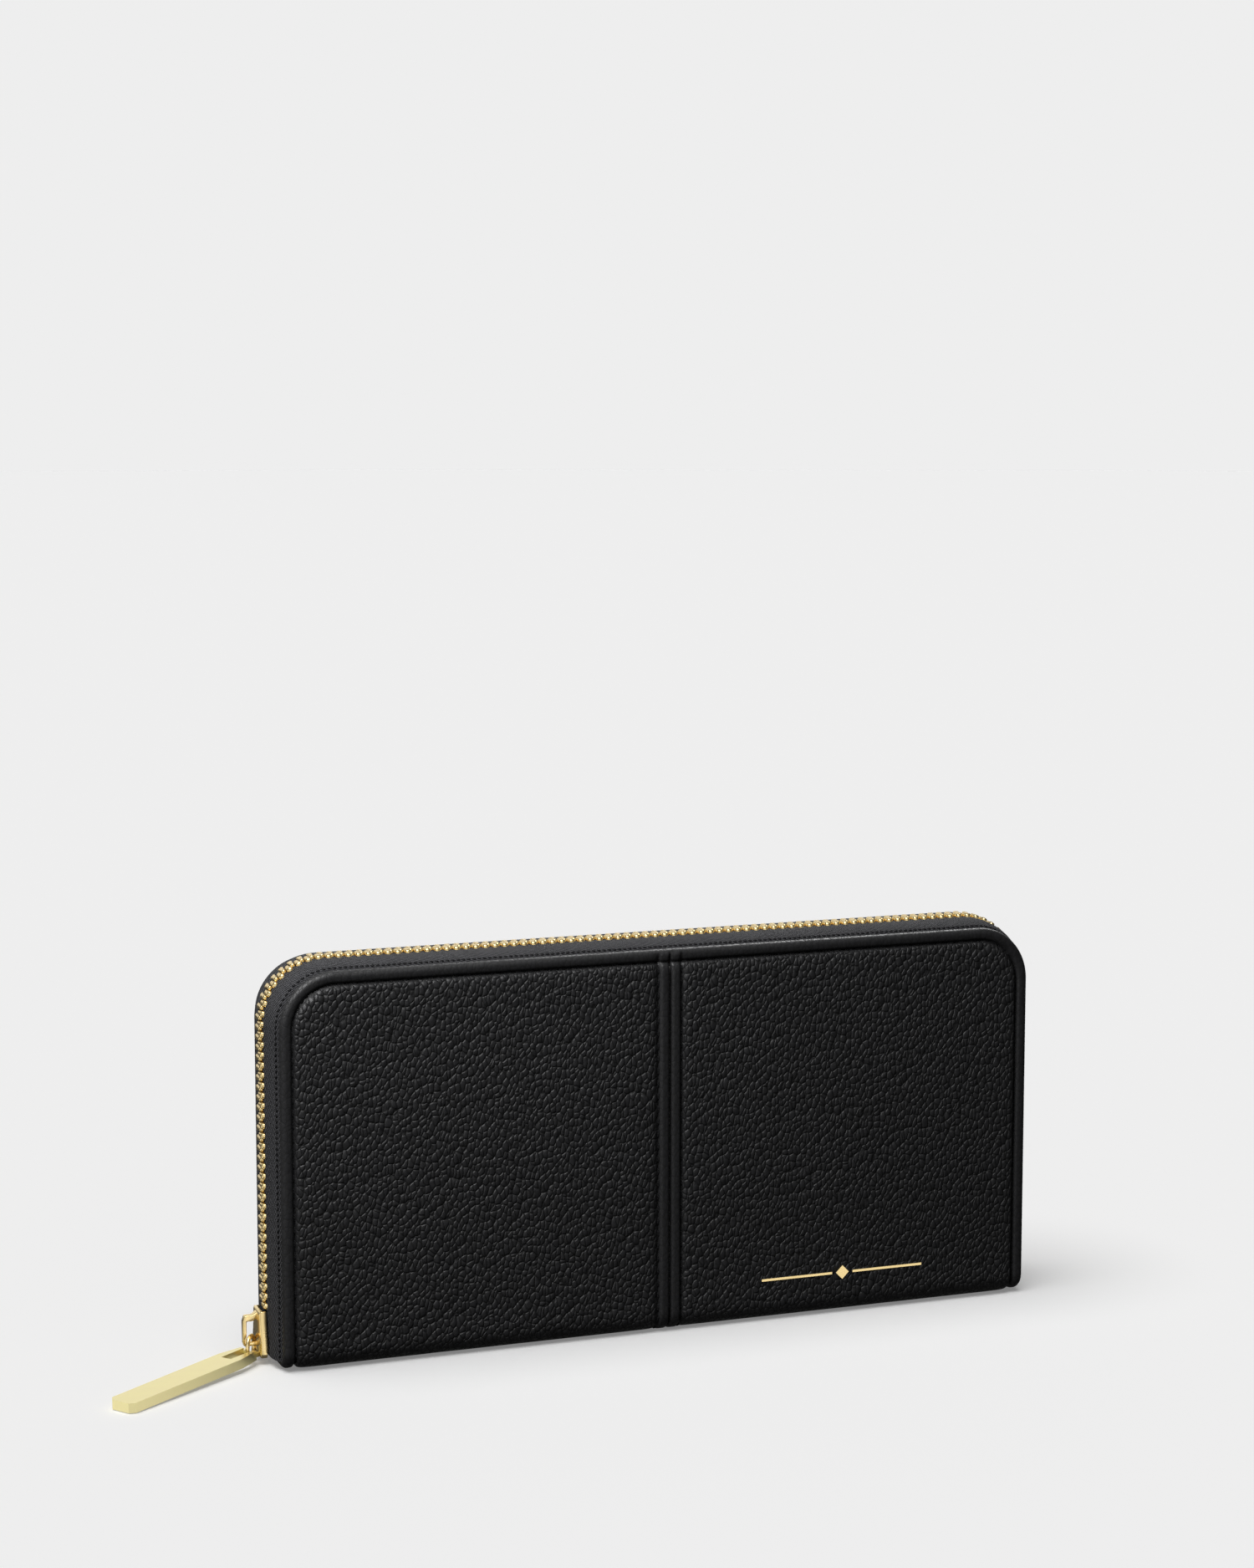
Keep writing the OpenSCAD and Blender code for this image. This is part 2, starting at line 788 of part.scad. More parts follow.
spine_leather_left();
spine_leather_right();
spine_board();
spine_lining();
coin_pocket_front_wall();
coin_pocket_rear_wall();
coin_pocket_left_end();
coin_pocket_right_end();
coin_pocket_floor();
coin_zip_tape_front();
coin_zip_tape_rear();
coin_teeth_front();
coin_teeth_rear();
coin_zip_stops();
gusset_front_left();
gusset_front_right();
gusset_rear_left();
gusset_rear_right();
zip_end_tab();
zip_bottom_stop();
front_leather_left();
front_leather_right();
front_foam();
front_board();
front_lining();
front_card_slot_1();
front_card_slot_2();
front_card_slot_3();
front_card_slot_4();
front_zip_tape();
front_teeth();
front_top_stop();
foil_mark();
rear_leather_left();
rear_leather_right();
rear_foam();
rear_board();
rear_lining();
rear_card_slot_1();
rear_card_slot_2();
rear_card_slot_3();
rear_card_slot_4();
rear_zip_tape();
rear_teeth();
rear_top_stop();
slider_body();
slider_bail();
pull_link();
pull_bar();
coin_slider_body();
coin_slider_bail();
coin_pull();
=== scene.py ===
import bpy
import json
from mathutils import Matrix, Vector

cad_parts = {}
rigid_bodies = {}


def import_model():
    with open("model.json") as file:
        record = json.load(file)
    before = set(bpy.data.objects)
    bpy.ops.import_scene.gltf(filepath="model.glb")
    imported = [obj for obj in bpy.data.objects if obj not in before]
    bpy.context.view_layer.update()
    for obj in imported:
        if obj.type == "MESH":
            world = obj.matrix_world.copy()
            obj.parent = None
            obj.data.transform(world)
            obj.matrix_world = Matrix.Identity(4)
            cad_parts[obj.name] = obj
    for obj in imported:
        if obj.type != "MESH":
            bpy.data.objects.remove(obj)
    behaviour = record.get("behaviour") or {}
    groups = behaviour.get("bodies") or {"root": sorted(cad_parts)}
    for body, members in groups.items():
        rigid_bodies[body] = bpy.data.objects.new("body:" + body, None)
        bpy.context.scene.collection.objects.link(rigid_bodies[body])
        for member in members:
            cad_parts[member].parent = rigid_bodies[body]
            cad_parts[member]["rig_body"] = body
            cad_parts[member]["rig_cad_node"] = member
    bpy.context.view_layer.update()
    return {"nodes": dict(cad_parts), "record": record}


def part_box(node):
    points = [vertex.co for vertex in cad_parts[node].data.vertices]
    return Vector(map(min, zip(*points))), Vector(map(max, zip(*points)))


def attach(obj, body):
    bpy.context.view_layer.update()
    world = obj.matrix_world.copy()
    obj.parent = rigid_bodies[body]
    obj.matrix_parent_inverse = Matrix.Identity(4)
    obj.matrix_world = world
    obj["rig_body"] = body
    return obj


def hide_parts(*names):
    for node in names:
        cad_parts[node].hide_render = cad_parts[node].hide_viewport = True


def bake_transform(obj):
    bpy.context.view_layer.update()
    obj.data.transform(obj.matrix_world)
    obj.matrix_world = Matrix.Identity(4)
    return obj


bl_info = {
    "name": "Zip around wallet",
    "version": (1, 0, 0),
    "blender": (4, 5, 0),
    "location": "3D View > Sidebar > Wallet",
    "description": "Builds the leather, stitching, zip, pull and inside of a long zip around wallet",
    "category": "Add Mesh",
}

import json
import math

import bmesh
import bpy
import numpy as np
from mathutils import Matrix, Vector, noise

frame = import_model()

# Sizes below are in millimetres unless a name says otherwise; MM turns them into metres.
MM = 0.001
LEATHER_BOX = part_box("front_leather_left")
LINING_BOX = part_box("front_lining")
END = -LEATHER_BOX[0].x / MM
TOP = LEATHER_BOX[1].z / MM
CORNER_R = 14.0
BEND_R = 5.0
BODY_HALF = 13.5
CROWN = 0.8
BASE_Y = BODY_HALF - CROWN
BASE_R = BEND_R - CROWN
SPINE_HALF = BODY_HALF - BEND_R
BORDER_W = 3.2
SEAM_HALF = 0.03
SEAM_DEEP = (1.3, 0.7)
SEAM_FOOT = -3.0
ROLL_W = 2.7
SEAM_STITCH = 3.1
SKIN_THICK = 0.4
GROOVE_DEEP = 0.72
GROOVE_W = 0.38
SEAM_GROOVE = 0.36
PANEL_RISE = 0.9
FINE_STEP = 0.27
COARSE_STEP = 0.95
EDGE_FINE = 5.4
EDGE_R = 0.9
EDGE_ROLL = 1.5
ROLL_RISE = 0.5
ARC = BASE_R * math.pi / 2
SKIN_TOP = ARC + TOP - BEND_R

ZIP_OUT = 1.2
PITCH = 2.5
TOOTH_COUNT = 141
CHAIN_LOW = 14.1
TAPE_EDGE = 1.3
TAPE_LEFT_LOW = 2.2
TAPE_RIGHT_LOW = BEND_R + 0.3
TAPE_LEN = ((TOP - CORNER_R - TAPE_LEFT_LOW) + CORNER_R * math.pi + 2 * (END - CORNER_R)
            + (TOP - CORNER_R - TAPE_RIGHT_LOW))
TAPE_THICK = 0.5
BEAD_PITCH = 1.35
COIN_PITCH = 2.0
COIN_TOOTH_W = 0.8


# ---- sizes and colours a user may change ----

class WalletLeather(bpy.types.PropertyGroup):
    color: bpy.props.FloatVectorProperty(
        name="Leather colour", description="Colour of the dyed leather",
        default=(0.006, 0.006, 0.0064), subtype="COLOR", min=0.0, max=1.0)
    grain: bpy.props.FloatProperty(
        name="Grain size", description="Width of one pebble of the grain",
        default=0.0015, unit="LENGTH", min=0.0005, max=0.005)
    stitch: bpy.props.FloatProperty(
        name="Stitch length", description="Length of one stitch with its gap",
        default=0.0032, unit="LENGTH", min=0.001, max=0.006)


class WalletMetal(bpy.types.PropertyGroup):
    gold: bpy.props.FloatVectorProperty(
        name="Zip colour", description="Colour of the plated teeth, slider and link",
        default=(0.90, 0.70, 0.34), subtype="COLOR", min=0.0, max=1.0)
    pull: bpy.props.FloatVectorProperty(
        name="Pull colour", description="Colour of the satin pull bar",
        default=(1.0, 0.87, 0.45), subtype="COLOR", min=0.0, max=1.0)


class WalletStage(bpy.types.PropertyGroup):
    floor: bpy.props.FloatVectorProperty(
        name="Floor colour", description="Colour of the pale floor and backdrop",
        default=(0.84, 0.84, 0.84), subtype="COLOR", min=0.0, max=1.0)
    lens: bpy.props.FloatProperty(
        name="Lens", description="Focal length of the camera in millimetres",
        default=72.0, min=20.0, max=200.0)


# ---- materials ----

FINISHES = {}


class Finish:
    """A material whose nodes are added one by one."""

    def __init__(self, name, color, roughness, metallic=0.0, specular=0.5):
        self.material = bpy.data.materials.new(name)
        FINISHES[name] = self.material
        self.material.use_nodes = True
        self.tree = self.material.node_tree
        self.shader = self.tree.nodes["Principled BSDF"]
        for key, value in (("Base Color", (*color, 1.0)), ("Roughness", roughness),
                           ("Metallic", metallic), ("Specular IOR Level", specular)):
            self.shader.inputs[key].default_value = value
        self.place = self.node("ShaderNodeTexCoord").outputs["Object"]

    def node(self, kind, **values):
        n = self.tree.nodes.new(kind)
        for key, value in values.items():
            if key in n.inputs:
                n.inputs[key].default_value = value
            else:
                setattr(n, key, value)
        return n

    def link(self, out, into):
        self.tree.links.new(out, into)

    def fac(self, texture, vector=None):
        self.link(vector or self.place, texture.inputs["Vector"])
        return texture.outputs[0]

    def stretched(self, scale, rotation=(0, 0, 0), source=None):
        n = self.node("ShaderNodeMapping")
        n.inputs["Scale"].default_value = scale
        n.inputs["Rotation"].default_value = rotation
        self.link(source or self.place, n.inputs["Vector"])
        return n.outputs[0]

    def math(self, operation, a, b):
        n = self.node("ShaderNodeMath", operation=operation)
        for value, socket in ((a, n.inputs[0]), (b, n.inputs[1])):
            if isinstance(value, (int, float)):
                socket.default_value = value
            else:
                self.link(value, socket)
        return n.outputs[0]

    def ranged(self, value, low, high, to_low, to_high):
        n = self.node("ShaderNodeMapRange")
        for key, number in (("From Min", low), ("From Max", high), ("To Min", to_low), ("To Max", to_high)):
            n.inputs[key].default_value = number
        self.link(value, n.inputs["Value"])
        return n.outputs[0]

    def tint(self, value, color, dark, light):
        """Shades the colour between a dark and a light share of itself."""
        n = self.node("ShaderNodeMix", data_type="RGBA")
        for i, share in ((6, dark), (7, light)):
            n.inputs[i].default_value = (*(min(1.0, c * share) for c in color), 1.0)
        self.link(value, n.inputs[0])
        self.link(n.outputs[2], self.shader.inputs["Base Color"])

    def rough(self, value, low, high):
        self.link(self.ranged(value, 0, 1, low, high), self.shader.inputs["Roughness"])

    def glow(self, strength):
        self.shader.inputs["Emission Color"].default_value = (1.0, 1.0, 1.0, 1.0)
        self.shader.inputs["Emission Strength"].default_value = strength

    def bump(self, height, distance, strength=1.0):
        n = self.node("ShaderNodeBump")
        n.inputs["Distance"].default_value = distance
        n.inputs["Strength"].default_value = strength
        self.link(height, n.inputs["Height"])
        self.link(n.outputs[0], self.shader.inputs["Normal"])


def pebbled_leather(name, color, grain, masked):
    f = Finish(name, color, 0.5, specular=0.24)
    wander = f.node("ShaderNodeTexNoise", Scale=0.5 / grain, Detail=1.0)
    f.link(f.place, wander.inputs["Vector"])
    mixed = f.node("ShaderNodeVectorMath", operation="MULTIPLY_ADD")
    f.link(wander.outputs["Color"], mixed.inputs[0])
    mixed.inputs[1].default_value = (grain * 0.8,) * 3
    leaning = f.stretched((1.25, 1.0, 0.8), (0, math.radians(28), 0))
    f.link(leaning, mixed.inputs[2])
    pebble = f.node("ShaderNodeTexVoronoi", feature="DISTANCE_TO_EDGE", Scale=1.0 / grain)
    pebble.inputs["Randomness"].default_value = 0.9
    edge = f.node("ShaderNodeMapRange", interpolation_type="SMOOTHSTEP")
    edge.inputs["From Max"].default_value = 0.20
    f.link(f.fac(pebble, mixed.outputs[0]), edge.inputs["Value"])
    crease = edge.outputs[0]
    centre = f.node("ShaderNodeTexVoronoi", feature="F1", Scale=1.0 / grain)
    centre.inputs["Randomness"].default_value = 0.9
    fall = f.math("POWER", f.fac(centre, mixed.outputs[0]), 2.0)
    low = f.node("ShaderNodeTexNoise", Scale=0.9 / grain, Detail=1.5)
    pores = f.node("ShaderNodeTexNoise", Scale=5.0 / grain, Detail=2.0)
    dome = f.math("SUBTRACT", f.math("MULTIPLY", crease, 0.3), fall)
    height = f.math("ADD", dome, f.math("MULTIPLY", f.fac(low), 0.35))
    if masked:
        mask = f.node("ShaderNodeAttribute", attribute_name="pebble")
        height = f.math("MULTIPLY", height, mask.outputs["Fac"])
    height = f.math("ADD", height, f.math("MULTIPLY", f.fac(pores), 0.08))
    patch = f.node("ShaderNodeTexNoise", Scale=45.0, Detail=3.0)
    # Painted shade: the base colour is darkened in the pebble creases and lighter on the pebble tops, mixed
    # with random patches of tone; the same mix sets the roughness.
    shade = f.math("ADD", f.math("MULTIPLY", crease, 0.65), f.math("MULTIPLY", f.fac(patch), 0.35))
    f.tint(shade, color, 0.35, 1.7)
    f.rough(shade, 0.70, 0.42)
    f.bump(height, 0.00050 * grain / 0.0017)


def woven(name, color, rib, on_run, depth=0.00012, slant=0.0):
    """Ribbed cloth: slanted ribs crossed by finer threads, on the piece's own run or on its place."""
    f = Finish(name, color, 0.85, specular=0.09)
    source = f.node("ShaderNodeUVMap", uv_map="run").outputs[0] if on_run else f.place
    turned = f.stretched((1, 1, 1), (0, 0 if on_run else slant, slant if on_run else 0), source)
    ribs = f.node("ShaderNodeTexWave", bands_direction="X", Scale=0.314 / rib, Distortion=1.2)
    ribs.inputs["Detail Scale"].default_value = 2.0
    threads = f.node("ShaderNodeTexWave", bands_direction="Y" if on_run else "Z",
                     Scale=0.314 / (rib * 0.55), Distortion=0.8)
    fuzz = f.node("ShaderNodeTexNoise", Scale=1.1 / rib, Detail=4.0)
    cloth = f.math("ADD", f.math("MULTIPLY", f.fac(ribs, turned), 0.45),
                   f.math("MULTIPLY", f.fac(threads, turned), 0.25))
    shade = f.math("ADD", cloth, f.math("MULTIPLY", f.fac(fuzz), 0.3))
    f.tint(f.ranged(shade, 0.25, 0.8, 0.0, 1.0), color, 0.2, 3.2)
    f.rough(shade, 0.95, 0.75)
    f.bump(shade, depth * 1.3)


def plated(name, color, low, high, brushed):
    f = Finish(name, color, low, metallic=1.0)
    grime = f.node("ShaderNodeTexNoise", Scale=160.0, Detail=4.0)
    marks = f.node("ShaderNodeTexNoise", Scale=900.0, Detail=3.0)
    f.rough(f.fac(grime), low, high)
    f.tint(f.fac(grime), color, 0.88, 1.05)
    drawn = f.stretched((0.12, 1.0, 1.0), (0, 0, brushed)) if brushed is not None else None
    f.bump(f.fac(marks, drawn), 0.00002, 0.35)


def speckled(name, color, size, low, high):
    f = Finish(name, color, low, specular=0.3)
    fleck = f.node("ShaderNodeTexNoise", Scale=1.0 / size, Detail=4.0)
    f.tint(f.fac(fleck), color, 0.8, 1.15)
    f.rough(f.fac(fleck), low, high)
    f.bump(f.fac(fleck), 0.0001, 0.5)


def twisted_thread(name, color):
    f = Finish(name, color, 0.9, specular=0.04)
    ply = f.node("ShaderNodeTexWave", bands_direction="DIAGONAL", Scale=900.0, Distortion=1.0)
    f.tint(f.fac(ply), color, 0.6, 1.6)
    f.rough(f.fac(ply), 0.95, 0.8)
    f.bump(f.fac(ply), 0.00004)


# ---- modelling helpers ----

def lone(o):
    """Leaves o as the only selected and the active object."""
    bpy.ops.object.select_all(action="DESELECT")
    o.select_set(True)
    bpy.context.view_layer.objects.active = o
    return o


def applied():
    bpy.ops.object.transform_apply(location=True, rotation=True, scale=True)


def faced_out():
    bpy.ops.mesh.normals_make_consistent(inside=False)


def named(name):
    o = bpy.context.object
    o.name = o.data.name = name
    return lone(o)


def settled(o, material, smooth=35):
    """Applies place, turn, size and modifiers, smooths the shading and gives the material."""
    lone(o)
    applied()
    for m in list(o.modifiers):
        bpy.ops.object.modifier_apply(modifier=m.name)
    o.data.materials.clear()
    o.data.materials.append(FINISHES[material])
    bpy.ops.object.shade_smooth_by_angle(angle=math.radians(smooth))
    return o


def in_edit(o, *steps):
    """Runs each step in edit mode on everything in o."""
    lone(o)
    bpy.ops.object.mode_set(mode="EDIT")
    bpy.ops.mesh.select_all(action="SELECT")
    for step in steps:
        step()
    bpy.ops.object.mode_set(mode="OBJECT")
    return o


def pick(o, test, what="faces"):
    """Selects the faces or vertices of o whose middle passes the test."""
    bpy.ops.mesh.select_mode(type={"faces": "FACE", "verts": "VERT"}[what])
    bpy.ops.mesh.select_all(action="DESELECT")
    bm = bmesh.from_edit_mesh(o.data)
    for part in getattr(bm, what):
        middle = part.calc_center_median() if what == "faces" else part.co
        part.select_set(test(middle, part.normal))
    bm.select_flush_mode()
    bmesh.update_edit_mesh(o.data)


def shaped(o, test, move=None, scale=None):
    """Moves (in millimetres) or scales the vertices of o whose place passes the test."""
    pick(o, lambda c, n: test(c), "verts")
    if move:
        bpy.ops.transform.translate(value=tuple(v * MM for v in move))
    else:
        bpy.ops.transform.resize(value=scale)


def sliced(axis, *places):
    """Cuts the mesh in edit mode across an axis (0 to 2) at each place, in millimetres."""
    for place in places:
        bpy.ops.mesh.select_all(action="SELECT")
        bpy.ops.mesh.bisect(plane_co=tuple(place * MM if k == axis else 0 for k in range(3)),
                            plane_no=tuple(int(k == axis) for k in range(3)))


def block(name, low, high):
    """A box between two corners, in millimetres."""
    low, high = Vector(low), Vector(high)
    bpy.ops.mesh.primitive_cube_add(size=1, location=(low + high) / 2 * MM)
    o = named(name)
    o.scale = (high - low) * MM
    applied()
    return o


def ball(name, rings, size, turn=0.0):
    """A sphere of few faces, turned about Y, then stretched to half sizes in millimetres."""
    bpy.ops.mesh.primitive_uv_sphere_add(segments=6, ring_count=rings, radius=1)
    o = named(name)
    o.rotation_euler = (0, turn, 0)
    applied()
    o.scale = tuple(v * MM for v in size)
    applied()
    return o


def rounded(o, width, segments=2, angle=30):
    """A bevel on the edges sharper than the angle."""
    m = o.modifiers.new("rounded", "BEVEL")
    m.width = width * MM
    m.segments = segments
    m.limit_method = "ANGLE"
    m.angle_limit = math.radians(angle)
    return o


def lattice(name, rows, closed=False, outward=None, uv_size=None):
    """A grid primitive whose vertices are moved to the rows of points, in millimetres."""
    count, wide = len(rows), len(rows[0])
    bpy.ops.mesh.primitive_grid_add(x_subdivisions=wide - 1, y_subdivisions=count - 1, size=1)
    o = named(name)
    if uv_size:
        layer = o.data.uv_layers.active
        layer.name = "run"
        uv = np.zeros(len(o.data.loops) * 2, np.float32)
        layer.data.foreach_get("uv", uv)
        layer.data.foreach_set("uv", (uv.reshape(-1, 2) * uv_size).astype(np.float32).ravel())
    points = np.array(rows, float).reshape(-1, 3) * MM
    o.data.vertices.foreach_set("co", points.astype(np.float32).ravel())
    o.data.update()
    in_edit(o, lambda: bpy.ops.mesh.remove_doubles(threshold=0.00001))
    if closed:
        in_edit(o, lambda: bpy.ops.mesh.select_all(action="DESELECT"),
                lambda: bpy.ops.mesh.select_non_manifold(use_wire=False, use_multi_face=False,
                                                         use_non_contiguous=False, use_verts=False),
                lambda: bpy.ops.mesh.fill_holes(sides=0))
        in_edit(o, faced_out)
    elif outward is not None:
        middle = o.data.polygons[len(o.data.polygons) // 2]
        if middle.normal.dot(outward) < 0:
            in_edit(o, bpy.ops.mesh.flip_normals)
    return o


def scattered(name, template, places, material):
    """One mesh that holds a copy of the template at each place. The template is removed."""
    co = np.array([v.co for v in template.data.vertices])
    faces = [list(p.vertices) for p in template.data.polygons]
    turns = np.array([np.array(m) for m in places])
    points = np.einsum("nij,vj->nvi", turns[:, :3, :3], co) + turns[:, None, :3, 3]
    size = len(co)
    mesh = bpy.data.meshes.new(name)
    mesh.from_pydata(points.reshape(-1, 3).tolist(), [],
                     [[v + k * size for v in f] for k in range(len(places)) for f in faces])
    o = bpy.data.objects.new(name, mesh)
    bpy.context.scene.collection.objects.link(o)
    bpy.data.objects.remove(template)
    in_edit(o, faced_out)
    return settled(o, material, 50)


def from_cad(name, node):
    """A welded copy of a CAD node, ready to be finished."""
    source = frame["nodes"][node]
    o = source.copy()
    o.data = source.data.copy()
    o.name = o.data.name = name
    o.parent = None
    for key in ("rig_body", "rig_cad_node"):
        del o[key]
    bpy.context.scene.collection.objects.link(o)
    return in_edit(o, lambda: bpy.ops.mesh.remove_doubles(threshold=0.000002),
                   lambda: bpy.ops.mesh.dissolve_limited(angle_limit=math.radians(2)),
                   faced_out)


def frame_matrix(origin, along, side, up):
    m = Matrix.Identity(4)
    for i, axis in enumerate((along, side, up)):
        m.col[i][:3] = axis
    m.col[3][:3] = Vector(origin) * MM
    return m


# ---- the leather skins ----

def section(s, turn_y):
    """Point, outward normal and upward direction of the border plane, s up from the bend's foot."""
    if s < 0:
        y, z, ny, nz, ty, tz = -SPINE_HALF - s, CROWN, 0, -1, -1, 0
    elif s < ARC:
        a = s / BASE_R
        y, z = -SPINE_HALF - BASE_R * math.sin(a), BEND_R - BASE_R * math.cos(a)
        ny, nz, ty, tz = -math.sin(a), -math.cos(a), -math.cos(a), math.sin(a)
    else:
        y, z, ny, nz, ty, tz = -BASE_Y, BEND_R + s - ARC, -1, 0, 0, 1
    return (Vector((0, turn_y * y, z)), Vector((0, turn_y * ny, nz)), Vector((0, turn_y * ty, tz)))


def edge_gap(x, s, top):
    """Distance from a point of the flattened skin in to its outer edge."""
    if top and x > END - CORNER_R and s > SKIN_TOP - CORNER_R:
        return CORNER_R - math.hypot(x - END + CORNER_R, s - SKIN_TOP + CORNER_R)
    return min(END - x, SKIN_TOP - s) if top else END - x


def rise(t, run):
    return 1 - math.exp(-max(t, 0.0) / run)


def dip(t, width):
    return math.exp(-(t / width) ** 2)


def wave(x, s, rate, layer):
    return noise.noise(Vector((x * rate, s * rate, layer)))


def skin_height(x, s, top):
    """How far the skin stands out of the border plane, and how pebbled it is."""
    d = max(edge_gap(x, s, top), 0.0)
    e = x - SEAM_HALF
    low = 0.0 if s > ARC else min(1.0, 1 - s / ARC)
    if d < EDGE_ROLL:
        rim_h = -EDGE_R + (EDGE_R + ROLL_RISE) * math.sqrt(max(0.0, 1 - (1 - d / EDGE_ROLL) ** 2))
    elif d < BORDER_W:
        rim_h = ROLL_RISE - 0.45 * ((d - EDGE_ROLL) / (BORDER_W - EDGE_ROLL)) ** 2
    else:
        rim_h = 0.05 + (CROWN - 0.05) * rise(d - BORDER_W, PANEL_RISE)
    rim_h -= GROOVE_DEEP * dip(d - BORDER_W, GROOVE_W) * (0.45 + 0.55 * rise(e - SEAM_STITCH, 0.4))
    seam_h = CROWN - 0.55 * math.exp(-max(e - SEAM_STITCH, 0.0) / 0.9)
    if e < ROLL_W:
        seam_h = (CROWN + 0.26) * math.sqrt(max(0.0, 1 - ((e - ROLL_W / 2) / (ROLL_W / 2 + 0.12)) ** 4))
        seam_h = max(seam_h, 0.25) - 0.9 * math.exp(-e / 0.3)
    seam_h -= SEAM_GROOVE * dip(e - SEAM_STITCH, SEAM_GROOVE)
    h = rim_h + (seam_h - CROWN) * rise(d - 0.7, 1.4) * (1 - 0.75 * low)
    swell = wave(x, s, 0.09, 3.0) + 0.5 * wave(x, s, 0.3, 7.0)
    h -= 0.05 * max(swell, 0.0) * rise(d - 4, 3.0) * rise(e - 4, 3.0)
    h += 0.025 * wave(x, s, 0.7, 1.0) * dip(d - EDGE_ROLL, 1.2)
    pebble = 0.10 + 0.90 * rise(d - BORDER_W - 0.2, 0.5) * rise(e - SEAM_STITCH - 0.2, 0.4)
    return min(h, CROWN + 0.29), pebble


def steps(total, fine_low, fine_high, fine, coarse):
    """Places from 0 to total, closer together near the two ends."""
    low = [fine * i for i in range(int(fine_low / fine))]
    high = [total - fine * i for i in range(int(fine_high / fine), -1, -1)]
    middle = max(1, round((high[0] - (low[-1] if low else 0)) / coarse))
    start = low[-1] if low else 0.0
    between = [start + (high[0] - start) * k / middle for k in range(0 if not low else 1, middle)]
    return low + between + high


# Turned edge beyond the outline: distance out and depth below the border plane
TURNED_EDGE = ((-0.04, 0.12), (-0.22, 0.3), (-0.55, 0.42), (-0.62, 0.7), (-0.6, 1.35),
               (-1.2, 1.45), (-2.4, 1.5))


def corner_arc(share):
    """Point and outward direction round a top corner, from its side end (0) to its top end (1)."""
    a = share * math.pi / 2
    o = Vector((math.cos(a), math.sin(a)))
    return Vector((END - CORNER_R, SKIN_TOP - CORNER_R)) + CORNER_R * o, o


def along_end(t):
    """Point on the outer end, t up its length, and its outward direction."""
    straight = SKIN_TOP - CORNER_R
    if t <= straight:
        return Vector((END, t)), Vector((1, 0))
    return corner_arc(0.5 * (t - straight) / (CORNER_R * math.pi / 4))


def along_top(t):
    """Point on the top edge, t from the seam, and its outward direction."""
    straight = END - CORNER_R - SEAM_HALF
    if t <= straight:
        return Vector((SEAM_HALF + t, SKIN_TOP)), Vector((0, 1))
    return corner_arc(1 - 0.5 * (t - straight) / (CORNER_R * math.pi / 4))


def skin_point(x, s, h, side, turn_y):
    origin, normal, _ = section(s, turn_y)
    return Vector((side * x, origin.y, origin.z)) + normal * h


def skin_rows(side, turn_y, top):
    """Rows of points and pebble shares of a cover skin (top) or of half the spine skin."""
    wide = END - SEAM_HALF
    us = [u / wide for u in steps(wide, 4.0, EDGE_FINE, FINE_STEP, COARSE_STEP)]
    if top:
        vs = [v / SKIN_TOP for v in steps(SKIN_TOP, 0.0, EDGE_FINE, FINE_STEP, COARSE_STEP)]
    else:
        vs = [v / 12 for v in range(13)]
    end_len = SKIN_TOP - CORNER_R * (1 - math.pi / 4)
    top_len = wide - CORNER_R * (1 - math.pi / 4)
    corner = corner_arc(0.5)[0]
    flat, outs = [], []
    for v in vs:
        row, out = [], []
        for u in us:
            if top:
                right, right_out = along_end(v * end_len)
                upper, upper_out = along_top(u * top_len)
                p = (1 - v) * Vector((SEAM_HALF + u * wide, 0)) + v * upper
                p += (1 - u) * Vector((SEAM_HALF, v * SKIN_TOP)) + u * right
                p -= (1 - u) * (1 - v) * Vector((SEAM_HALF, 0)) + u * (1 - v) * Vector((END, 0))
                p -= (1 - u) * v * Vector((SEAM_HALF, SKIN_TOP)) + u * v * corner
                out.append((right_out, upper_out))
            else:
                p = Vector((SEAM_HALF + u * wide, (v - 1) * 2 * SPINE_HALF))
                out.append((Vector((1, 0)), Vector((0, 1))))
            row.append(p)
        flat.append(row)
        outs.append(out)
    rows, shares = [], []
    edge_rows = len(TURNED_EDGE) if top else 0
    for j in range(len(vs) + edge_rows):
        row, share = [], []
        first = flat[min(j, len(vs) - 1)][0]
        for deep in SEAM_DEEP:
            p, h = first, skin_height(first.x, first.y, top)[0] - deep
            if j >= len(vs):
                p, h = first + outs[-1][0][1] * TURNED_EDGE[j - len(vs)][0], SEAM_FOOT
            row.append(skin_point(p.x, p.y, h, side, turn_y))
            share.append(0.1)
        for i in range(len(us) + len(TURNED_EDGE)):
            jj, ii = min(j, len(vs) - 1), min(i, len(us) - 1)
            p = flat[jj][ii]
            k = max(i - len(us), j - len(vs), -1)
            if k < 0:
                h, pebble = skin_height(p.x, p.y, top)
            else:
                h, pebble = -EDGE_R - TURNED_EDGE[k][1], 0.12
                out = outs[jj][ii][0] if i >= len(us) else outs[jj][ii][1]
                p = p + out * TURNED_EDGE[k][0]
            row.append(skin_point(p.x, p.y, h, side, turn_y))
            share.append(pebble)
        rows.append(row)
        shares.append(share)
    return rows, shares


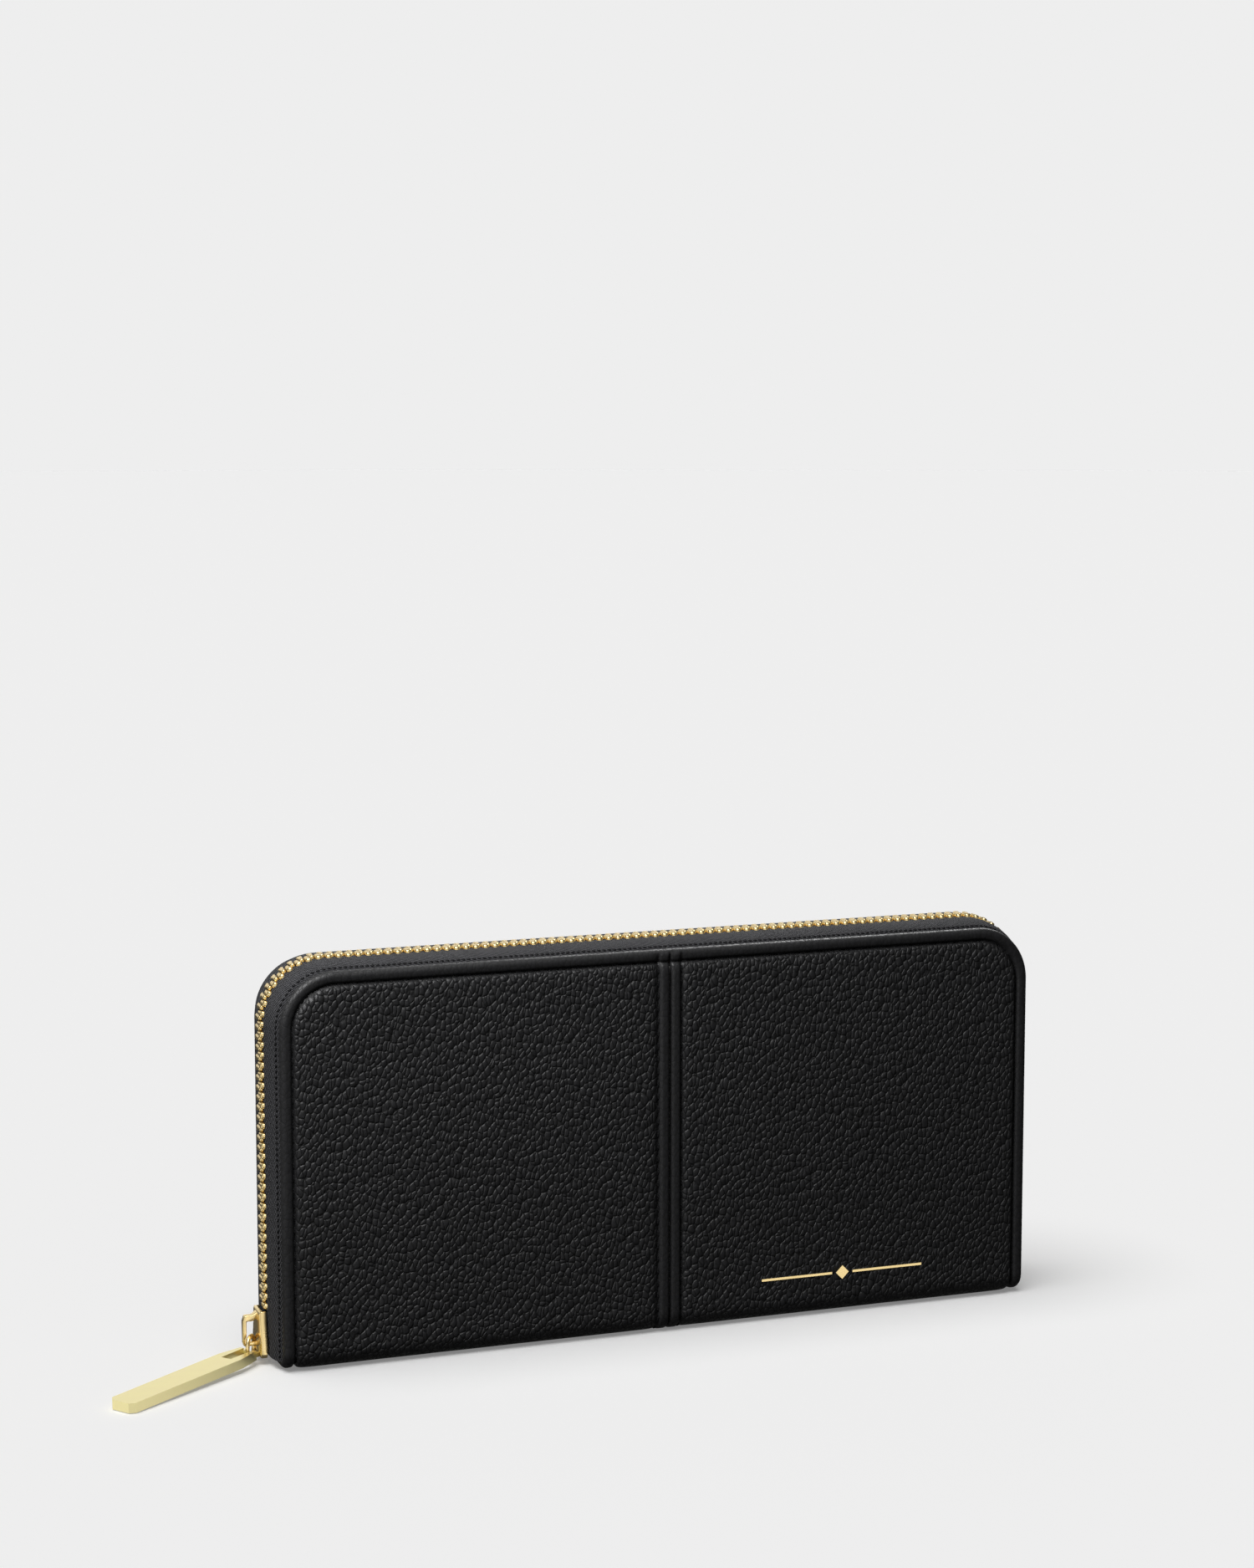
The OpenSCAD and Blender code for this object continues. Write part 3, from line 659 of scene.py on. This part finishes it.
def leather_skin(name, side, turn_y, top):
    rows, shares = skin_rows(side, turn_y, top)
    outward = Vector((0, -turn_y, 0)) if top else Vector((0, 0, -1))
    o = lattice(name, rows)
    share_at = {}
    for row, share in zip(rows, shares):
        for p, value in zip(row, share):
            share_at[tuple(round(c * 20) for c in p)] = value
    mask = o.data.attributes.new("pebble", "FLOAT", "POINT")
    for v in o.data.vertices:
        mask.data[v.index].value = share_at.get(tuple(round(c / MM * 20) for c in v.co), 0.5)
    centre = Vector((side * 0.05, -turn_y * 0.013, 0.05 if top else 0))
    middle = min(o.data.polygons, key=lambda f: (f.center - centre).length)
    if middle.normal.dot(outward) < 0:
        in_edit(o, bpy.ops.mesh.flip_normals)
    thick = o.modifiers.new("thick", "SOLIDIFY")
    thick.thickness = SKIN_THICK * MM
    thick.offset = -1
    return settled(o, "leather", 60)


def bent(o):
    """Bakes the piece's place into its mesh."""
    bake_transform(o)


COVERS = (("front", 1), ("rear", -1))
HALVES = (("left", -1), ("right", 1))


class WALLET_OT_cover_skins(bpy.types.Operator):
    """Make the pebbled leather skin of each cover half, with its border, crown and rolled seam edge"""
    bl_idname = "wallet.cover_skins"
    bl_label = "Cover skins"

    def execute(self, context):
        for cover, turn_y in COVERS:
            for half, side in HALVES:
                o = leather_skin(f"{cover}_skin_{half}", side, turn_y, True)
                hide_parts(f"{cover}_leather_{half}")
                bent(o)
        return {"FINISHED"}


class WALLET_OT_spine_skins(bpy.types.Operator):
    """Make the leather under the spine, half by half"""
    bl_idname = "wallet.spine_skins"
    bl_label = "Spine skins"

    def execute(self, context):
        for half, side in HALVES:
            o = leather_skin(f"spine_skin_{half}", side, 1, False)
            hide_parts(f"spine_leather_{half}")
            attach(o, "core")
        return {"FINISHED"}


# ---- stitching ----

def stitch_template(length):
    return ball("stitch_template", 5, (length * 0.5, 0.31, 0.24), math.pi / 2)


def stitch_lines():
    """Stitch lines of one cover half as (point, direction) steps on the flattened skin."""
    pitch = bpy.context.scene.wallet_leather.stitch / MM
    lines = []
    r = CORNER_R - BORDER_W
    straight = SKIN_TOP - CORNER_R
    t = pitch / 2
    while t < straight:
        lines.append((Vector((END - BORDER_W, t)), Vector((0, 1))))
        t += pitch
    while t < straight + r * math.pi / 2:
        a = (t - straight) / r
        o = Vector((math.cos(a), math.sin(a)))
        lines.append((Vector((END - CORNER_R, straight)) + r * o, Vector((-o.y, o.x))))
        t += pitch
    x = END - CORNER_R - (t - straight - r * math.pi / 2)
    while x > SEAM_HALF + SEAM_STITCH:
        lines.append((Vector((x, SKIN_TOP - BORDER_W)), Vector((-1, 0))))
        x -= pitch
    t = pitch / 2
    while t < SKIN_TOP - BORDER_W - pitch / 2:
        lines.append((Vector((SEAM_HALF + SEAM_STITCH, t)), Vector((0, 1))))
        t += pitch
    return lines


def stitch_places(lines, side, turn_y):
    places = []
    for p, along in lines:
        h = skin_height(p.x, p.y, True)[0] + 0.16
        _, normal, up = section(p.y, turn_y)
        run = (Vector((side, 0, 0)) * along.x + up * along.y).normalized()
        places.append(frame_matrix(skin_point(p.x, p.y, h, side, turn_y), run, normal.cross(run), normal))
    return places


class WALLET_OT_stitching(bpy.types.Operator):
    """Sew the border and both sides of the centre seam of each cover half"""
    bl_idname = "wallet.stitching"
    bl_label = "Stitching"

    def execute(self, context):
        lines = stitch_lines()
        length = context.scene.wallet_leather.stitch / MM * 0.66
        for cover, turn_y in COVERS:
            for half, side in HALVES:
                o = scattered(f"{cover}_stitches_{half}", stitch_template(length),
                              stitch_places(lines, side, turn_y), "thread")
                bent(o)
        return {"FINISHED"}


# ---- zip ----

def rim(t, low):
    """Point (x, z) on the covers' edge, outward and forward directions, t along from the left end's foot."""
    straight = TOP - CORNER_R - low
    bend = CORNER_R * math.pi / 2
    across = 2 * (END - CORNER_R)
    if t < straight:
        return Vector((-END, low + t)), Vector((-1, 0)), Vector((0, 1))
    t -= straight
    if t < bend:
        a = t / CORNER_R
        o = Vector((-math.cos(a), math.sin(a)))
        return Vector((-END + CORNER_R, TOP - CORNER_R)) + CORNER_R * o, o, Vector((o.y, -o.x))
    t -= bend
    if t < across:
        return Vector((-END + CORNER_R + t, TOP)), Vector((0, 1)), Vector((1, 0))
    t -= across
    if t < bend:
        a = t / CORNER_R
        o = Vector((math.sin(a), math.cos(a)))
        return Vector((END - CORNER_R, TOP - CORNER_R)) + CORNER_R * o, o, Vector((o.y, -o.x))
    t -= bend
    return Vector((END, TOP - CORNER_R - t)), Vector((1, 0)), Vector((0, -1))


def rim_place(t, out, y, turn_y):
    p, o, _ = rim(t, TAPE_LEFT_LOW)
    return Vector((p.x + o.x * out, turn_y * y, p.y + o.y * out))


def tape_section():
    """Middle line of the tape as (outward, y) points, from its sewn edge to its corded edge."""
    sewn_y = LINING_BOX[0].y / MM + TAPE_THICK / 2
    turn_out, flat = -0.9, 4.6
    line = [(-6.0, sewn_y), (-3.5, sewn_y), (turn_out, sewn_y)]
    for i in range(1, 13):
        a = math.pi / 2 * i / 12
        line.append((turn_out + (ZIP_OUT - turn_out) * math.sin(a), -flat + (sewn_y + flat) * math.cos(a)))
    line += [(ZIP_OUT + 0.02, -3.4), (ZIP_OUT, -2.2), (ZIP_OUT, -TAPE_EDGE - 0.05)]
    return line


def tape_rows(turn_y):
    line = [Vector(p) for p in tape_section()]
    offs = []
    for i, p in enumerate(line):
        d = (line[min(i + 1, len(line) - 1)] - line[max(i - 1, 0)]).normalized()
        offs.append(Vector((d.y, -d.x)) * TAPE_THICK / 2)
    loop = [p - o for p, o in zip(line, offs)] + [p + o for p, o in zip(reversed(line), reversed(offs))]
    loop.append(loop[0])
    count = int(TAPE_LEN / 1.3)
    rows = []
    for k in range(count + 1):
        t = TAPE_LEN * k / count
        rows.append([rim_place(t, p.x, p.y, turn_y) for p in loop])
    width = sum((line[i + 1] - line[i]).length for i in range(len(line) - 1)) * 2
    return rows, (width * MM, TAPE_LEN * MM)


def bead_places(turn_y):
    """Loops of the seam that sews a tape in, under the edge of the cover's leather."""
    count = int(TAPE_LEN / BEAD_PITCH)
    places = []
    for k in range(1, count):
        t = TAPE_LEN * k / count
        _, o, f = rim(t, TAPE_LEFT_LOW)
        out = Vector((o.x, 0, o.y))
        up = (out + Vector((0, -turn_y * 0.45, 0))).normalized()
        along = (Vector((f.x, 0, f.y)) + Vector((0, -0.35 * turn_y, 0)) + out * 0.15).normalized()
        side = up.cross(along).normalized()
        places.append(frame_matrix(rim_place(t, 0.22, -9.72, turn_y), along, side, along.cross(side)))
    return places


class WALLET_OT_zip_tapes(bpy.types.Operator):
    """Weave the two zip tapes, curved from the covers' edges up to the teeth, and sew them in"""
    bl_idname = "wallet.zip_tapes"
    bl_label = "Zip tapes"

    def execute(self, context):
        for cover, turn_y in COVERS:
            rows, size = tape_rows(turn_y)
            o = settled(lattice(f"{cover}_tape", rows, closed=True, uv_size=size), "zip_tape", 50)
            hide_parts(f"{cover}_zip_tape")
            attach(o, f"{cover}_cover")
            bead = ball("bead_template", 4, (0.58, 0.34, 0.3))
            o = scattered(f"{cover}_tape_seam", bead, bead_places(turn_y), "thread")
            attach(o, f"{cover}_cover")
        return {"FINISHED"}


def tooth_template(name, wide, high, foot, lap, neck, soft):
    """A tooth with +X outward, +Y from its foot to its head and +Z along the zip."""
    o = block(name, (-high / 2, -foot, -wide / 2), (high / 2, lap, wide / 2))

    def shape():
        sliced(1, -foot + 0.75, -neck, lap - 0.7)
        shaped(o, lambda c: c.y > (lap - 0.01) * MM, scale=(0.7, 1, 0.55))
        shaped(o, lambda c: abs(c.y - (lap - 0.7) * MM) < 0.01 * MM, scale=(0.96, 1, 0.74))
        shaped(o, lambda c: abs(c.y + neck * MM) < 0.01 * MM, scale=(0.86, 1, 0.62))
        shaped(o, lambda c: c.y < (-foot + 0.01) * MM, scale=(0.62, 1, 0.72))

    in_edit(o, shape)
    rounded(o, soft, 1, 25)
    lone(o)
    bpy.ops.object.modifier_apply(modifier="rounded")
    return o


def tooth_places(shift, turn_y):
    places = []
    first = CHAIN_LOW
    straight = TOP - CORNER_R - first
    outer_bend = (CORNER_R + ZIP_OUT) * math.pi / 2
    across = 2 * (END - CORNER_R)
    for i in range(TOOTH_COUNT):
        s = (i + shift) * PITCH
        if s < straight:
            t = s
        elif s < straight + outer_bend:
            t = straight + (s - straight) * CORNER_R / (CORNER_R + ZIP_OUT)
        elif s < straight + outer_bend + across:
            t = s - outer_bend + CORNER_R * math.pi / 2
        elif s < straight + 2 * outer_bend + across:
            over = s - straight - outer_bend - across
            t = straight + CORNER_R * math.pi / 2 + across + over * CORNER_R / (CORNER_R + ZIP_OUT)
        else:
            t = s - 2 * outer_bend + CORNER_R * math.pi
        p, o, f = rim(t, first)
        out = Vector((o.x, 0, o.y))
        run = Vector((f.x, 0, f.y))
        origin = Vector((p.x, 0, p.y)) + out * ZIP_OUT
        places.append(frame_matrix(origin, out, Vector((0, turn_y, 0)), run))
    return places


class WALLET_OT_zip_teeth(bpy.types.Operator):
    """Clamp the two rows of metal teeth on the tapes"""
    bl_idname = "wallet.zip_teeth"
    bl_label = "Zip teeth"

    def execute(self, context):
        for cover, turn_y in COVERS:
            template = tooth_template("tooth_template", wide=1.45, high=2.2, foot=2.9, lap=0.9,
                                      neck=0.35, soft=0.22)
            shift = 0.0 if turn_y > 0 else 0.5
            o = scattered(f"{cover}_tooth_row", template, tooth_places(shift, turn_y), "gold_plate")
            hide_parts(f"{cover}_teeth")
            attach(o, f"{cover}_cover")
        return {"FINISHED"}


# ---- slider, link and pull ----

class WALLET_OT_slider(bpy.types.Operator):
    """Make the slider body and its bail"""
    bl_idname = "wallet.slider"
    bl_label = "Slider"

    def execute(self, context):
        o = from_cad("slider", "slider_body")
        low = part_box("slider_body")[0] / MM

        def crown():
            pick(o, lambda c, n: n.x < -0.9 and c.x < (low.x + 0.05) * MM)
            bpy.ops.mesh.inset(thickness=0.35 * MM)
            bpy.ops.transform.translate(value=(-0.18 * MM, 0, 0))
            bpy.ops.mesh.inset(thickness=1.1 * MM)
            bpy.ops.transform.translate(value=(-0.3 * MM, 0, 0))

        in_edit(o, crown)
        settled(rounded(o, 0.22, 3, 25), "gold_plate", 40)
        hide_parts("slider_body")
        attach(o, "slider")

        blow, bhigh = (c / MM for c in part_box("slider_bail"))
        bar = 0.95
        o = block("bail", (blow.x, -0.95, blow.z), (blow.x + bar, 0.95, bhigh.z))
        foot = 1.0
        crown_z = bhigh.z - 1.5

        def legs():
            sliced(2, blow.z + foot, crown_z)
            reach = low.x - (blow.x + bar)
            for share in (0.5, 0.5):
                pick(o, lambda c, n: n.x > 0.7 and (c.z < (blow.z + foot) * MM or c.z > crown_z * MM)
                     and c.x > (blow.x + bar * 0.5) * MM)
                bpy.ops.mesh.extrude_region_move(
                    TRANSFORM_OT_translate={"value": (reach * MM * share, 0, 0)})
            inner, outer = (low.x - 0.01) * MM, (blow.x + 0.01) * MM
            shaped(o, lambda c: c.x > inner and c.z > (crown_z - 0.01) * MM, move=(0, 0, 0.9))
            shaped(o, lambda c: c.x > inner and c.z > (bhigh.z + 0.5) * MM, scale=(1, 1.5, 1))
            shaped(o, lambda c: c.x < outer and c.z > (bhigh.z - 0.01) * MM, move=(0.45, 0, -0.1))
            shaped(o, lambda c: c.x < outer and c.z < (blow.z + 0.01) * MM, move=(0.4, 0, 0))
            shaped(o, lambda c: c.z < (blow.z + foot + 0.01) * MM, scale=(1, 0.62, 1))

        in_edit(o, legs)
        settled(rounded(o, 0.26, 3, 25), "gold_plate", 50)
        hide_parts("slider_bail")
        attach(o, "slider")
        return {"FINISHED"}


class WALLET_OT_pull(bpy.types.Operator):
    """Make the wire link and the long flat pull bar"""
    bl_idname = "wallet.pull"
    bl_label = "Link and pull"

    def execute(self, context):
        o = from_cad("link_ring", "pull_link")
        settled(o, "gold_plate", 60)
        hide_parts("pull_link")
        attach(o, "link")

        o = from_cad("pull", "pull_bar")
        settled(rounded(o, 0.16, 1, 30), "pull_plate", 20)
        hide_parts("pull_bar")
        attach(o, "pull")
        return {"FINISHED"}


class WALLET_OT_end_tab(bpy.types.Operator):
    """Fold the small leather tab over the start of the zip"""
    bl_idname = "wallet.end_tab"
    bl_label = "End tab"

    def execute(self, context):
        low, high = (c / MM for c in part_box("zip_end_tab"))
        o = from_cad("end_tab", "zip_end_tab")
        settled(rounded(o, 0.35, 3, 25), "smooth_leather", 40)
        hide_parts("zip_end_tab")
        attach(o, "core")
        places = []
        for z in np.arange(low.z + 2.0, high.z - 1.6, 2.6):
            for y in (low.y + 1.3, high.y - 1.3):
                places.append(frame_matrix((high.x + 0.02, y, z), Vector((0, 0, 1)), Vector((0, 1, 0)),
                                           Vector((-1, 0, 0))))
        o = scattered("end_tab_stitches", stitch_template(1.9), places, "thread")
        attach(o, "core")
        return {"FINISHED"}


# ---- inside ----

def scoop(share):
    """How far a strip's top edge dips, share from its middle (0) to its ends (1)."""
    return 0.7 * math.sin(math.pi * share) ** 2


def card_strip(name, node, turn_y):
    """One card slot strip with a turned top edge, a shallow scoop and a seam down the middle."""
    low, high = (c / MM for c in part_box(node))
    inner = high.y if turn_y > 0 else low.y
    outer = low.y if turn_y > 0 else high.y
    columns = 60
    hem = 2.2
    rows = []
    for s in [0.0, 0.3, hem, hem + 0.15, 4.0, 8.0, 12.0, (high.z - low.z) * 0.6, high.z - low.z]:
        row = []
        for i in range(columns + 1):
            x = low.x + (high.x - low.x) * i / columns
            share = abs(2 * i / columns - 1)
            drop = scoop(share) * max(0.0, 1 - s / 6)
            out = 0.1 if s <= hem else 0.0
            out -= 0.16 * dip(share * 50, 1.6)
            row.append(Vector((x, inner - turn_y * (0.12 - out), high.z - s - drop)))
        rows.append(row)
    o = lattice(name, rows, outward=Vector((0, turn_y, 0)))
    thick = o.modifiers.new("thick", "SOLIDIFY")
    thick.thickness = (abs(inner - outer) - 0.15) * MM
    thick.offset = -1
    rounded(o, 0.12, 2, 50)
    return settled(o, "slot_leather", 40)


class WALLET_OT_card_slots(bpy.types.Operator):
    """Layer the card slot strips on each cover, with a stitch line under each top edge"""
    bl_idname = "wallet.card_slots"
    bl_label = "Card slots"

    def execute(self, context):
        count = sum(1 for n in frame["nodes"] if n.startswith("front_card_slot"))
        for cover, turn_y in COVERS:
            places = []
            for n in range(1, count + 1):
                node = f"{cover}_card_slot_{n}"
                o = card_strip(f"{cover}_card_strip_{n}", node, turn_y)
                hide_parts(node)
                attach(o, f"{cover}_cover")
                low, high = (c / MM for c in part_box(node))
                inner = high.y if turn_y > 0 else low.y
                for x in np.arange(low.x + 3, high.x - 3, 2.6):
                    share = abs(2 * (x - low.x) / (high.x - low.x) - 1)
                    z = high.z - 1.5 - scoop(share) * 0.75
                    places.append(frame_matrix((x, inner - turn_y * 0.02, z),
                                               Vector((1, 0, 0)), Vector((0, 0, 1)), Vector((0, -turn_y, 0))))
            o = scattered(f"{cover}_card_stitches", stitch_template(1.8), places, "thread")
            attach(o, f"{cover}_cover")
        return {"FINISHED"}


class WALLET_OT_gussets(bpy.types.Operator):
    """Make the four folded gussets from the frame, cut finer"""
    bl_idname = "wallet.gussets"
    bl_label = "Gussets"

    def execute(self, context):
        for cover, turn_y in COVERS:
            for half, _ in HALVES:
                node = f"gusset_{cover}_{half}"
                o = from_cad(f"fold_{cover}_{half}", node)
                in_edit(o, lambda: bpy.ops.mesh.subdivide(number_cuts=3))
                settled(o, "lining", 40)
                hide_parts(node)
                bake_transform(o)
        return {"FINISHED"}


class WALLET_OT_coin_pocket(bpy.types.Operator):
    """Finish the coin pocket's zip, slider and pull"""
    bl_idname = "wallet.coin_pocket"
    bl_label = "Coin pocket"

    def execute(self, context):
        for cover, turn_y in COVERS:
            node = f"coin_teeth_{cover}"
            low, high = (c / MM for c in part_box(node))
            count = round((high.x - low.x - COIN_TOOTH_W) / COIN_PITCH) + 1
            z = (low.z + high.z) / 2
            template = tooth_template("coin_tooth", wide=1.15, high=high.z - low.z, foot=2.1, lap=0.6,
                                      neck=0.25, soft=0.18)
            places = [frame_matrix((low.x + COIN_TOOTH_W / 2 + COIN_PITCH * i, 0, z), Vector((0, 0, 1)),
                                   Vector((0, turn_y, 0)), Vector((-1, 0, 0)))
                      for i in range(count)]
            o = scattered(f"coin_tooth_row_{cover}", template, places, "gold_plate")
            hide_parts(node)
            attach(o, "core")
        for name, node, body, width in (("coin_slider", "coin_slider_body", "coin_slider", 0.15),
                                        ("coin_bail", "coin_slider_bail", "coin_slider", 0.15),
                                        ("coin_zip_pull", "coin_pull", "coin_pull", 0.12)):
            o = settled(rounded(from_cad(name, node), width, 2, 30), "gold_plate", 35)
            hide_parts(node)
            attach(o, body)
        return {"FINISHED"}


CAD_FINISHES = {
    "lining": "lining", "board": "board", "foam": "foam", "zip_tape": "coin_tape",
    "zip_metal": "gold_plate", "foil": "foil", "leather": "leather", "slot_leather": "slot_leather",
    "pull_metal": "pull_plate",
}


class WALLET_OT_materials(bpy.types.Operator):
    """Mix the leathers, cloths, threads and metals, and give them to the frame's own parts"""
    bl_idname = "wallet.materials"
    bl_label = "Materials"

    def execute(self, context):
        leather = context.scene.wallet_leather
        metal = context.scene.wallet_metal
        color = tuple(leather.color)
        pebbled_leather("leather", color, leather.grain, True)
        pebbled_leather("smooth_leather", color, leather.grain * 0.6, False)
        pebbled_leather("slot_leather", tuple(c * 1.3 for c in color), leather.grain * 0.55, False)
        twisted_thread("thread", (0.008, 0.008, 0.0085))
        tape, slant = (0.014, 0.014, 0.015), math.radians(35)
        woven("zip_tape", tape, rib=0.0008, on_run=True, depth=0.00025, slant=slant)
        woven("coin_tape", tape, rib=0.0008, on_run=False, depth=0.00015, slant=slant)
        woven("lining", (0.020, 0.019, 0.021), rib=0.0007, on_run=False)
        plated("gold_plate", tuple(metal.gold), 0.20, 0.34, None)
        plated("pull_plate", tuple(metal.pull), 0.28, 0.4, math.radians(34.5))
        plated("foil", tuple(metal.gold), 0.3, 0.45, None)
        speckled("board", (0.45, 0.38, 0.28), 0.002, 0.8, 0.95)
        speckled("foam", (0.6, 0.6, 0.57), 0.0012, 0.85, 1.0)
        slots = {p["node"]: p["material_slot"] for p in frame["record"]["subparts"]}
        for node, o in frame["nodes"].items():
            o.data.materials.clear()
            o.data.materials.append(FINISHES[CAD_FINISHES[slots[node]]])
        return {"FINISHED"}


# ---- stage ----

ROOM_HALF = 9.0
ROOM_HIGH = 6.0
RING_R = 8.9
FLOOR_GLOW = 0.20
BACKDROP_GLOW = 0.855
WORLD_LIGHT = 0.10
SUN_POWER = 2.2
SUN_WIDTH = 45
CAMERA_AT = (-0.28050, -0.72981, 0.23566)
CAMERA_LOOK = (0.3486, 0.9290, -0.1240)
METALS = ("gold_plate", "pull_plate", "foil")
# Area lights in metres: place, target, size, power in watts, and what the light falls on.
# The low ones shine up through the floor, which casts no shadow, in place of its glow on the metal.
LIGHTS = {
    "left_high": ((-0.25, -0.20, 0.38), (-0.04, 0.0, 0.07), 0.26, 4.0, "cloth"),
    "left_low": ((-1.1, -0.35, 0.30), (-0.1, 0.0, 0.04), 0.8, 1.9, "wallet"),
    "rear_right": ((0.35, 0.45, 0.5), (0.0, 0.0, 0.05), 0.3, 3.0, "cloth"),
    "metal_front": ((-0.3, -1.0, 0.15), (0.0, 0.0, 0.05), 1.4, 5.0, "metal"),
    "metal_above": ((0.1, -0.2, 1.2), (0.0, 0.0, 0.0), 1.2, 2.5, "metal"),
    "metal_back": ((0.07, 0.87, 0.32), (-0.13, -0.05, 0.0), 0.6, 0.22, "metal"),
    "metal_low": ((0.68, -0.29, -0.29), (-0.13, -0.03, 0.0), 0.6, 0.85, "metal"),
    "metal_low_left": ((-0.94, 0.23, -0.29), (-0.13, -0.03, 0.0), 0.6, 1.1, "metal"),
    "metal_low_right": ((0.50, -0.85, -0.22), (0.06, 0.0, 0.02), 0.8, 1.9, "metal"),
}


def aimed(o, place, look):
    """Puts o in the scene at a place, facing along look."""
    o.location = place
    o.rotation_mode = "QUATERNION"
    o.rotation_quaternion = look.to_track_quat("-Z", "Y")
    bpy.context.scene.collection.objects.link(o)
    return o


class WALLET_OT_stage(bpy.types.Operator):
    """Set the pale floor, the soft lights and the camera"""
    bl_idname = "wallet.stage"
    bl_label = "Stage"

    def execute(self, context):
        scene = context.scene
        stage = scene.wallet_stage
        pale = Finish("pale_paper", tuple(stage.floor), 0.95, specular=0.0)
        pale.glow(FLOOR_GLOW)
        Finish("backdrop_paper", (0.0, 0.0, 0.0), 1.0, specular=0.0).glow(BACKDROP_GLOW)
        flat = [[Vector((x, y, 0)) / MM for x in (-ROOM_HALF, ROOM_HALF)]
                for y in (-6.0, ROOM_HALF)]
        wall = [[Vector((x, ROOM_HALF, z)) / MM for x in (-ROOM_HALF, ROOM_HALF)] for z in (-0.1, ROOM_HIGH)]
        floor = settled(lattice("floor", flat, outward=Vector((0, 0, 1))), "pale_paper")
        backdrop = settled(lattice("backdrop", wall, outward=Vector((0, -1, 0))), "backdrop_paper")
        ring = [(math.cos(k * math.pi / 12), math.sin(k * math.pi / 12)) for k in range(25)]
        around = [[Vector((RING_R * c, RING_R * e, z)) / MM for c, e in ring] for z in (ROOM_HIGH, -0.1)]
        surround = settled(lattice("surround", around), "backdrop_paper")
        floor.visible_diffuse = floor.visible_glossy = floor.visible_shadow = False
        backdrop.visible_diffuse = backdrop.visible_shadow = False
        surround.visible_diffuse = surround.visible_shadow = surround.visible_glossy = False
        lit = {"wallet": bpy.data.collections.new("unlit_stage"), "metal": bpy.data.collections.new("metal"),
               "cloth": bpy.data.collections.new("stage_and_metal")}
        for o in scene.collection.all_objects:
            if o.type == "MESH" and any(m and m.name.split(".")[0] in METALS for m in o.data.materials):
                lit["metal"].objects.link(o)
                lit["cloth"].objects.link(o)
        for o in (floor, backdrop, surround):
            lit["wallet"].objects.link(o)
            lit["cloth"].objects.link(o)
        for key in ("wallet", "cloth"):
            for entry in lit[key].collection_objects:
                entry.light_linking.link_state = "EXCLUDE"

        world = bpy.data.worlds.new("studio")
        world.use_nodes = True
        background = world.node_tree.nodes["Background"].inputs
        background["Color"].default_value = (1.0, 1.0, 1.0, 1.0)
        background["Strength"].default_value = WORLD_LIGHT
        scene.world = world
        sun = bpy.data.lights.new("key_sun", "SUN")
        sun.energy = SUN_POWER
        sun.angle = math.radians(SUN_WIDTH)
        lamps = [(sun, (-0.22, -0.10, 1.0), (0.0, 0.0, 0.0), None)]
        for name, (place, target, size, power, falls_on) in LIGHTS.items():
            light = bpy.data.lights.new(name, "AREA")
            light.size = size
            light.energy = power
            lamps.append((light, place, target, lit[falls_on]))
        for light, place, target, receivers in lamps:
            look = Vector(target) - Vector(place)
            lamp = aimed(bpy.data.objects.new(light.name, light), place, look)
            if receivers is not None:
                lamp.light_linking.receiver_collection = receivers

        camera = bpy.data.objects.new("camera", bpy.data.cameras.new("camera"))
        camera.data.lens = stage.lens
        camera.data.sensor_width = 36.0
        camera.data.clip_start = 0.05
        camera.data.clip_end = 20.0
        scene.camera = aimed(camera, CAMERA_AT, Vector(CAMERA_LOOK))
        scene.view_settings.view_transform = "Standard"
        return {"FINISHED"}


PIECES = (
    WALLET_OT_materials, WALLET_OT_cover_skins, WALLET_OT_spine_skins, WALLET_OT_stitching,
    WALLET_OT_zip_tapes, WALLET_OT_zip_teeth, WALLET_OT_slider, WALLET_OT_pull, WALLET_OT_end_tab,
    WALLET_OT_card_slots, WALLET_OT_gussets, WALLET_OT_coin_pocket, WALLET_OT_stage,
)
GROUPS = (("wallet_leather", WalletLeather), ("wallet_metal", WalletMetal), ("wallet_stage", WalletStage))


class WALLET_PT_sidebar(bpy.types.Panel):
    """Lists the wallet's sizes, colours and pieces"""
    bl_idname = "WALLET_PT_sidebar"
    bl_label = "Zip around wallet"
    bl_space_type = "VIEW_3D"
    bl_region_type = "UI"
    bl_category = "Wallet"

    def draw(self, context):
        for key, group in GROUPS:
            box = self.layout.box()
            for prop in group.__annotations__:
                box.prop(getattr(context.scene, key), prop)
        for piece in PIECES:
            self.layout.operator(piece.bl_idname)


def register():
    for key, group in GROUPS:
        bpy.utils.register_class(group)
        setattr(bpy.types.Scene, key, bpy.props.PointerProperty(type=group))
    for piece in PIECES:
        bpy.utils.register_class(piece)
    bpy.utils.register_class(WALLET_PT_sidebar)


def unregister():
    bpy.utils.unregister_class(WALLET_PT_sidebar)
    for piece in reversed(PIECES):
        bpy.utils.unregister_class(piece)
    for key, group in reversed(GROUPS):
        delattr(bpy.types.Scene, key)
        bpy.utils.unregister_class(group)


def main():
    register()
    for piece in PIECES:
        area, name = piece.bl_idname.split(".")
        getattr(getattr(bpy.ops, area), name)()


if __name__ == "__main__":
    main()
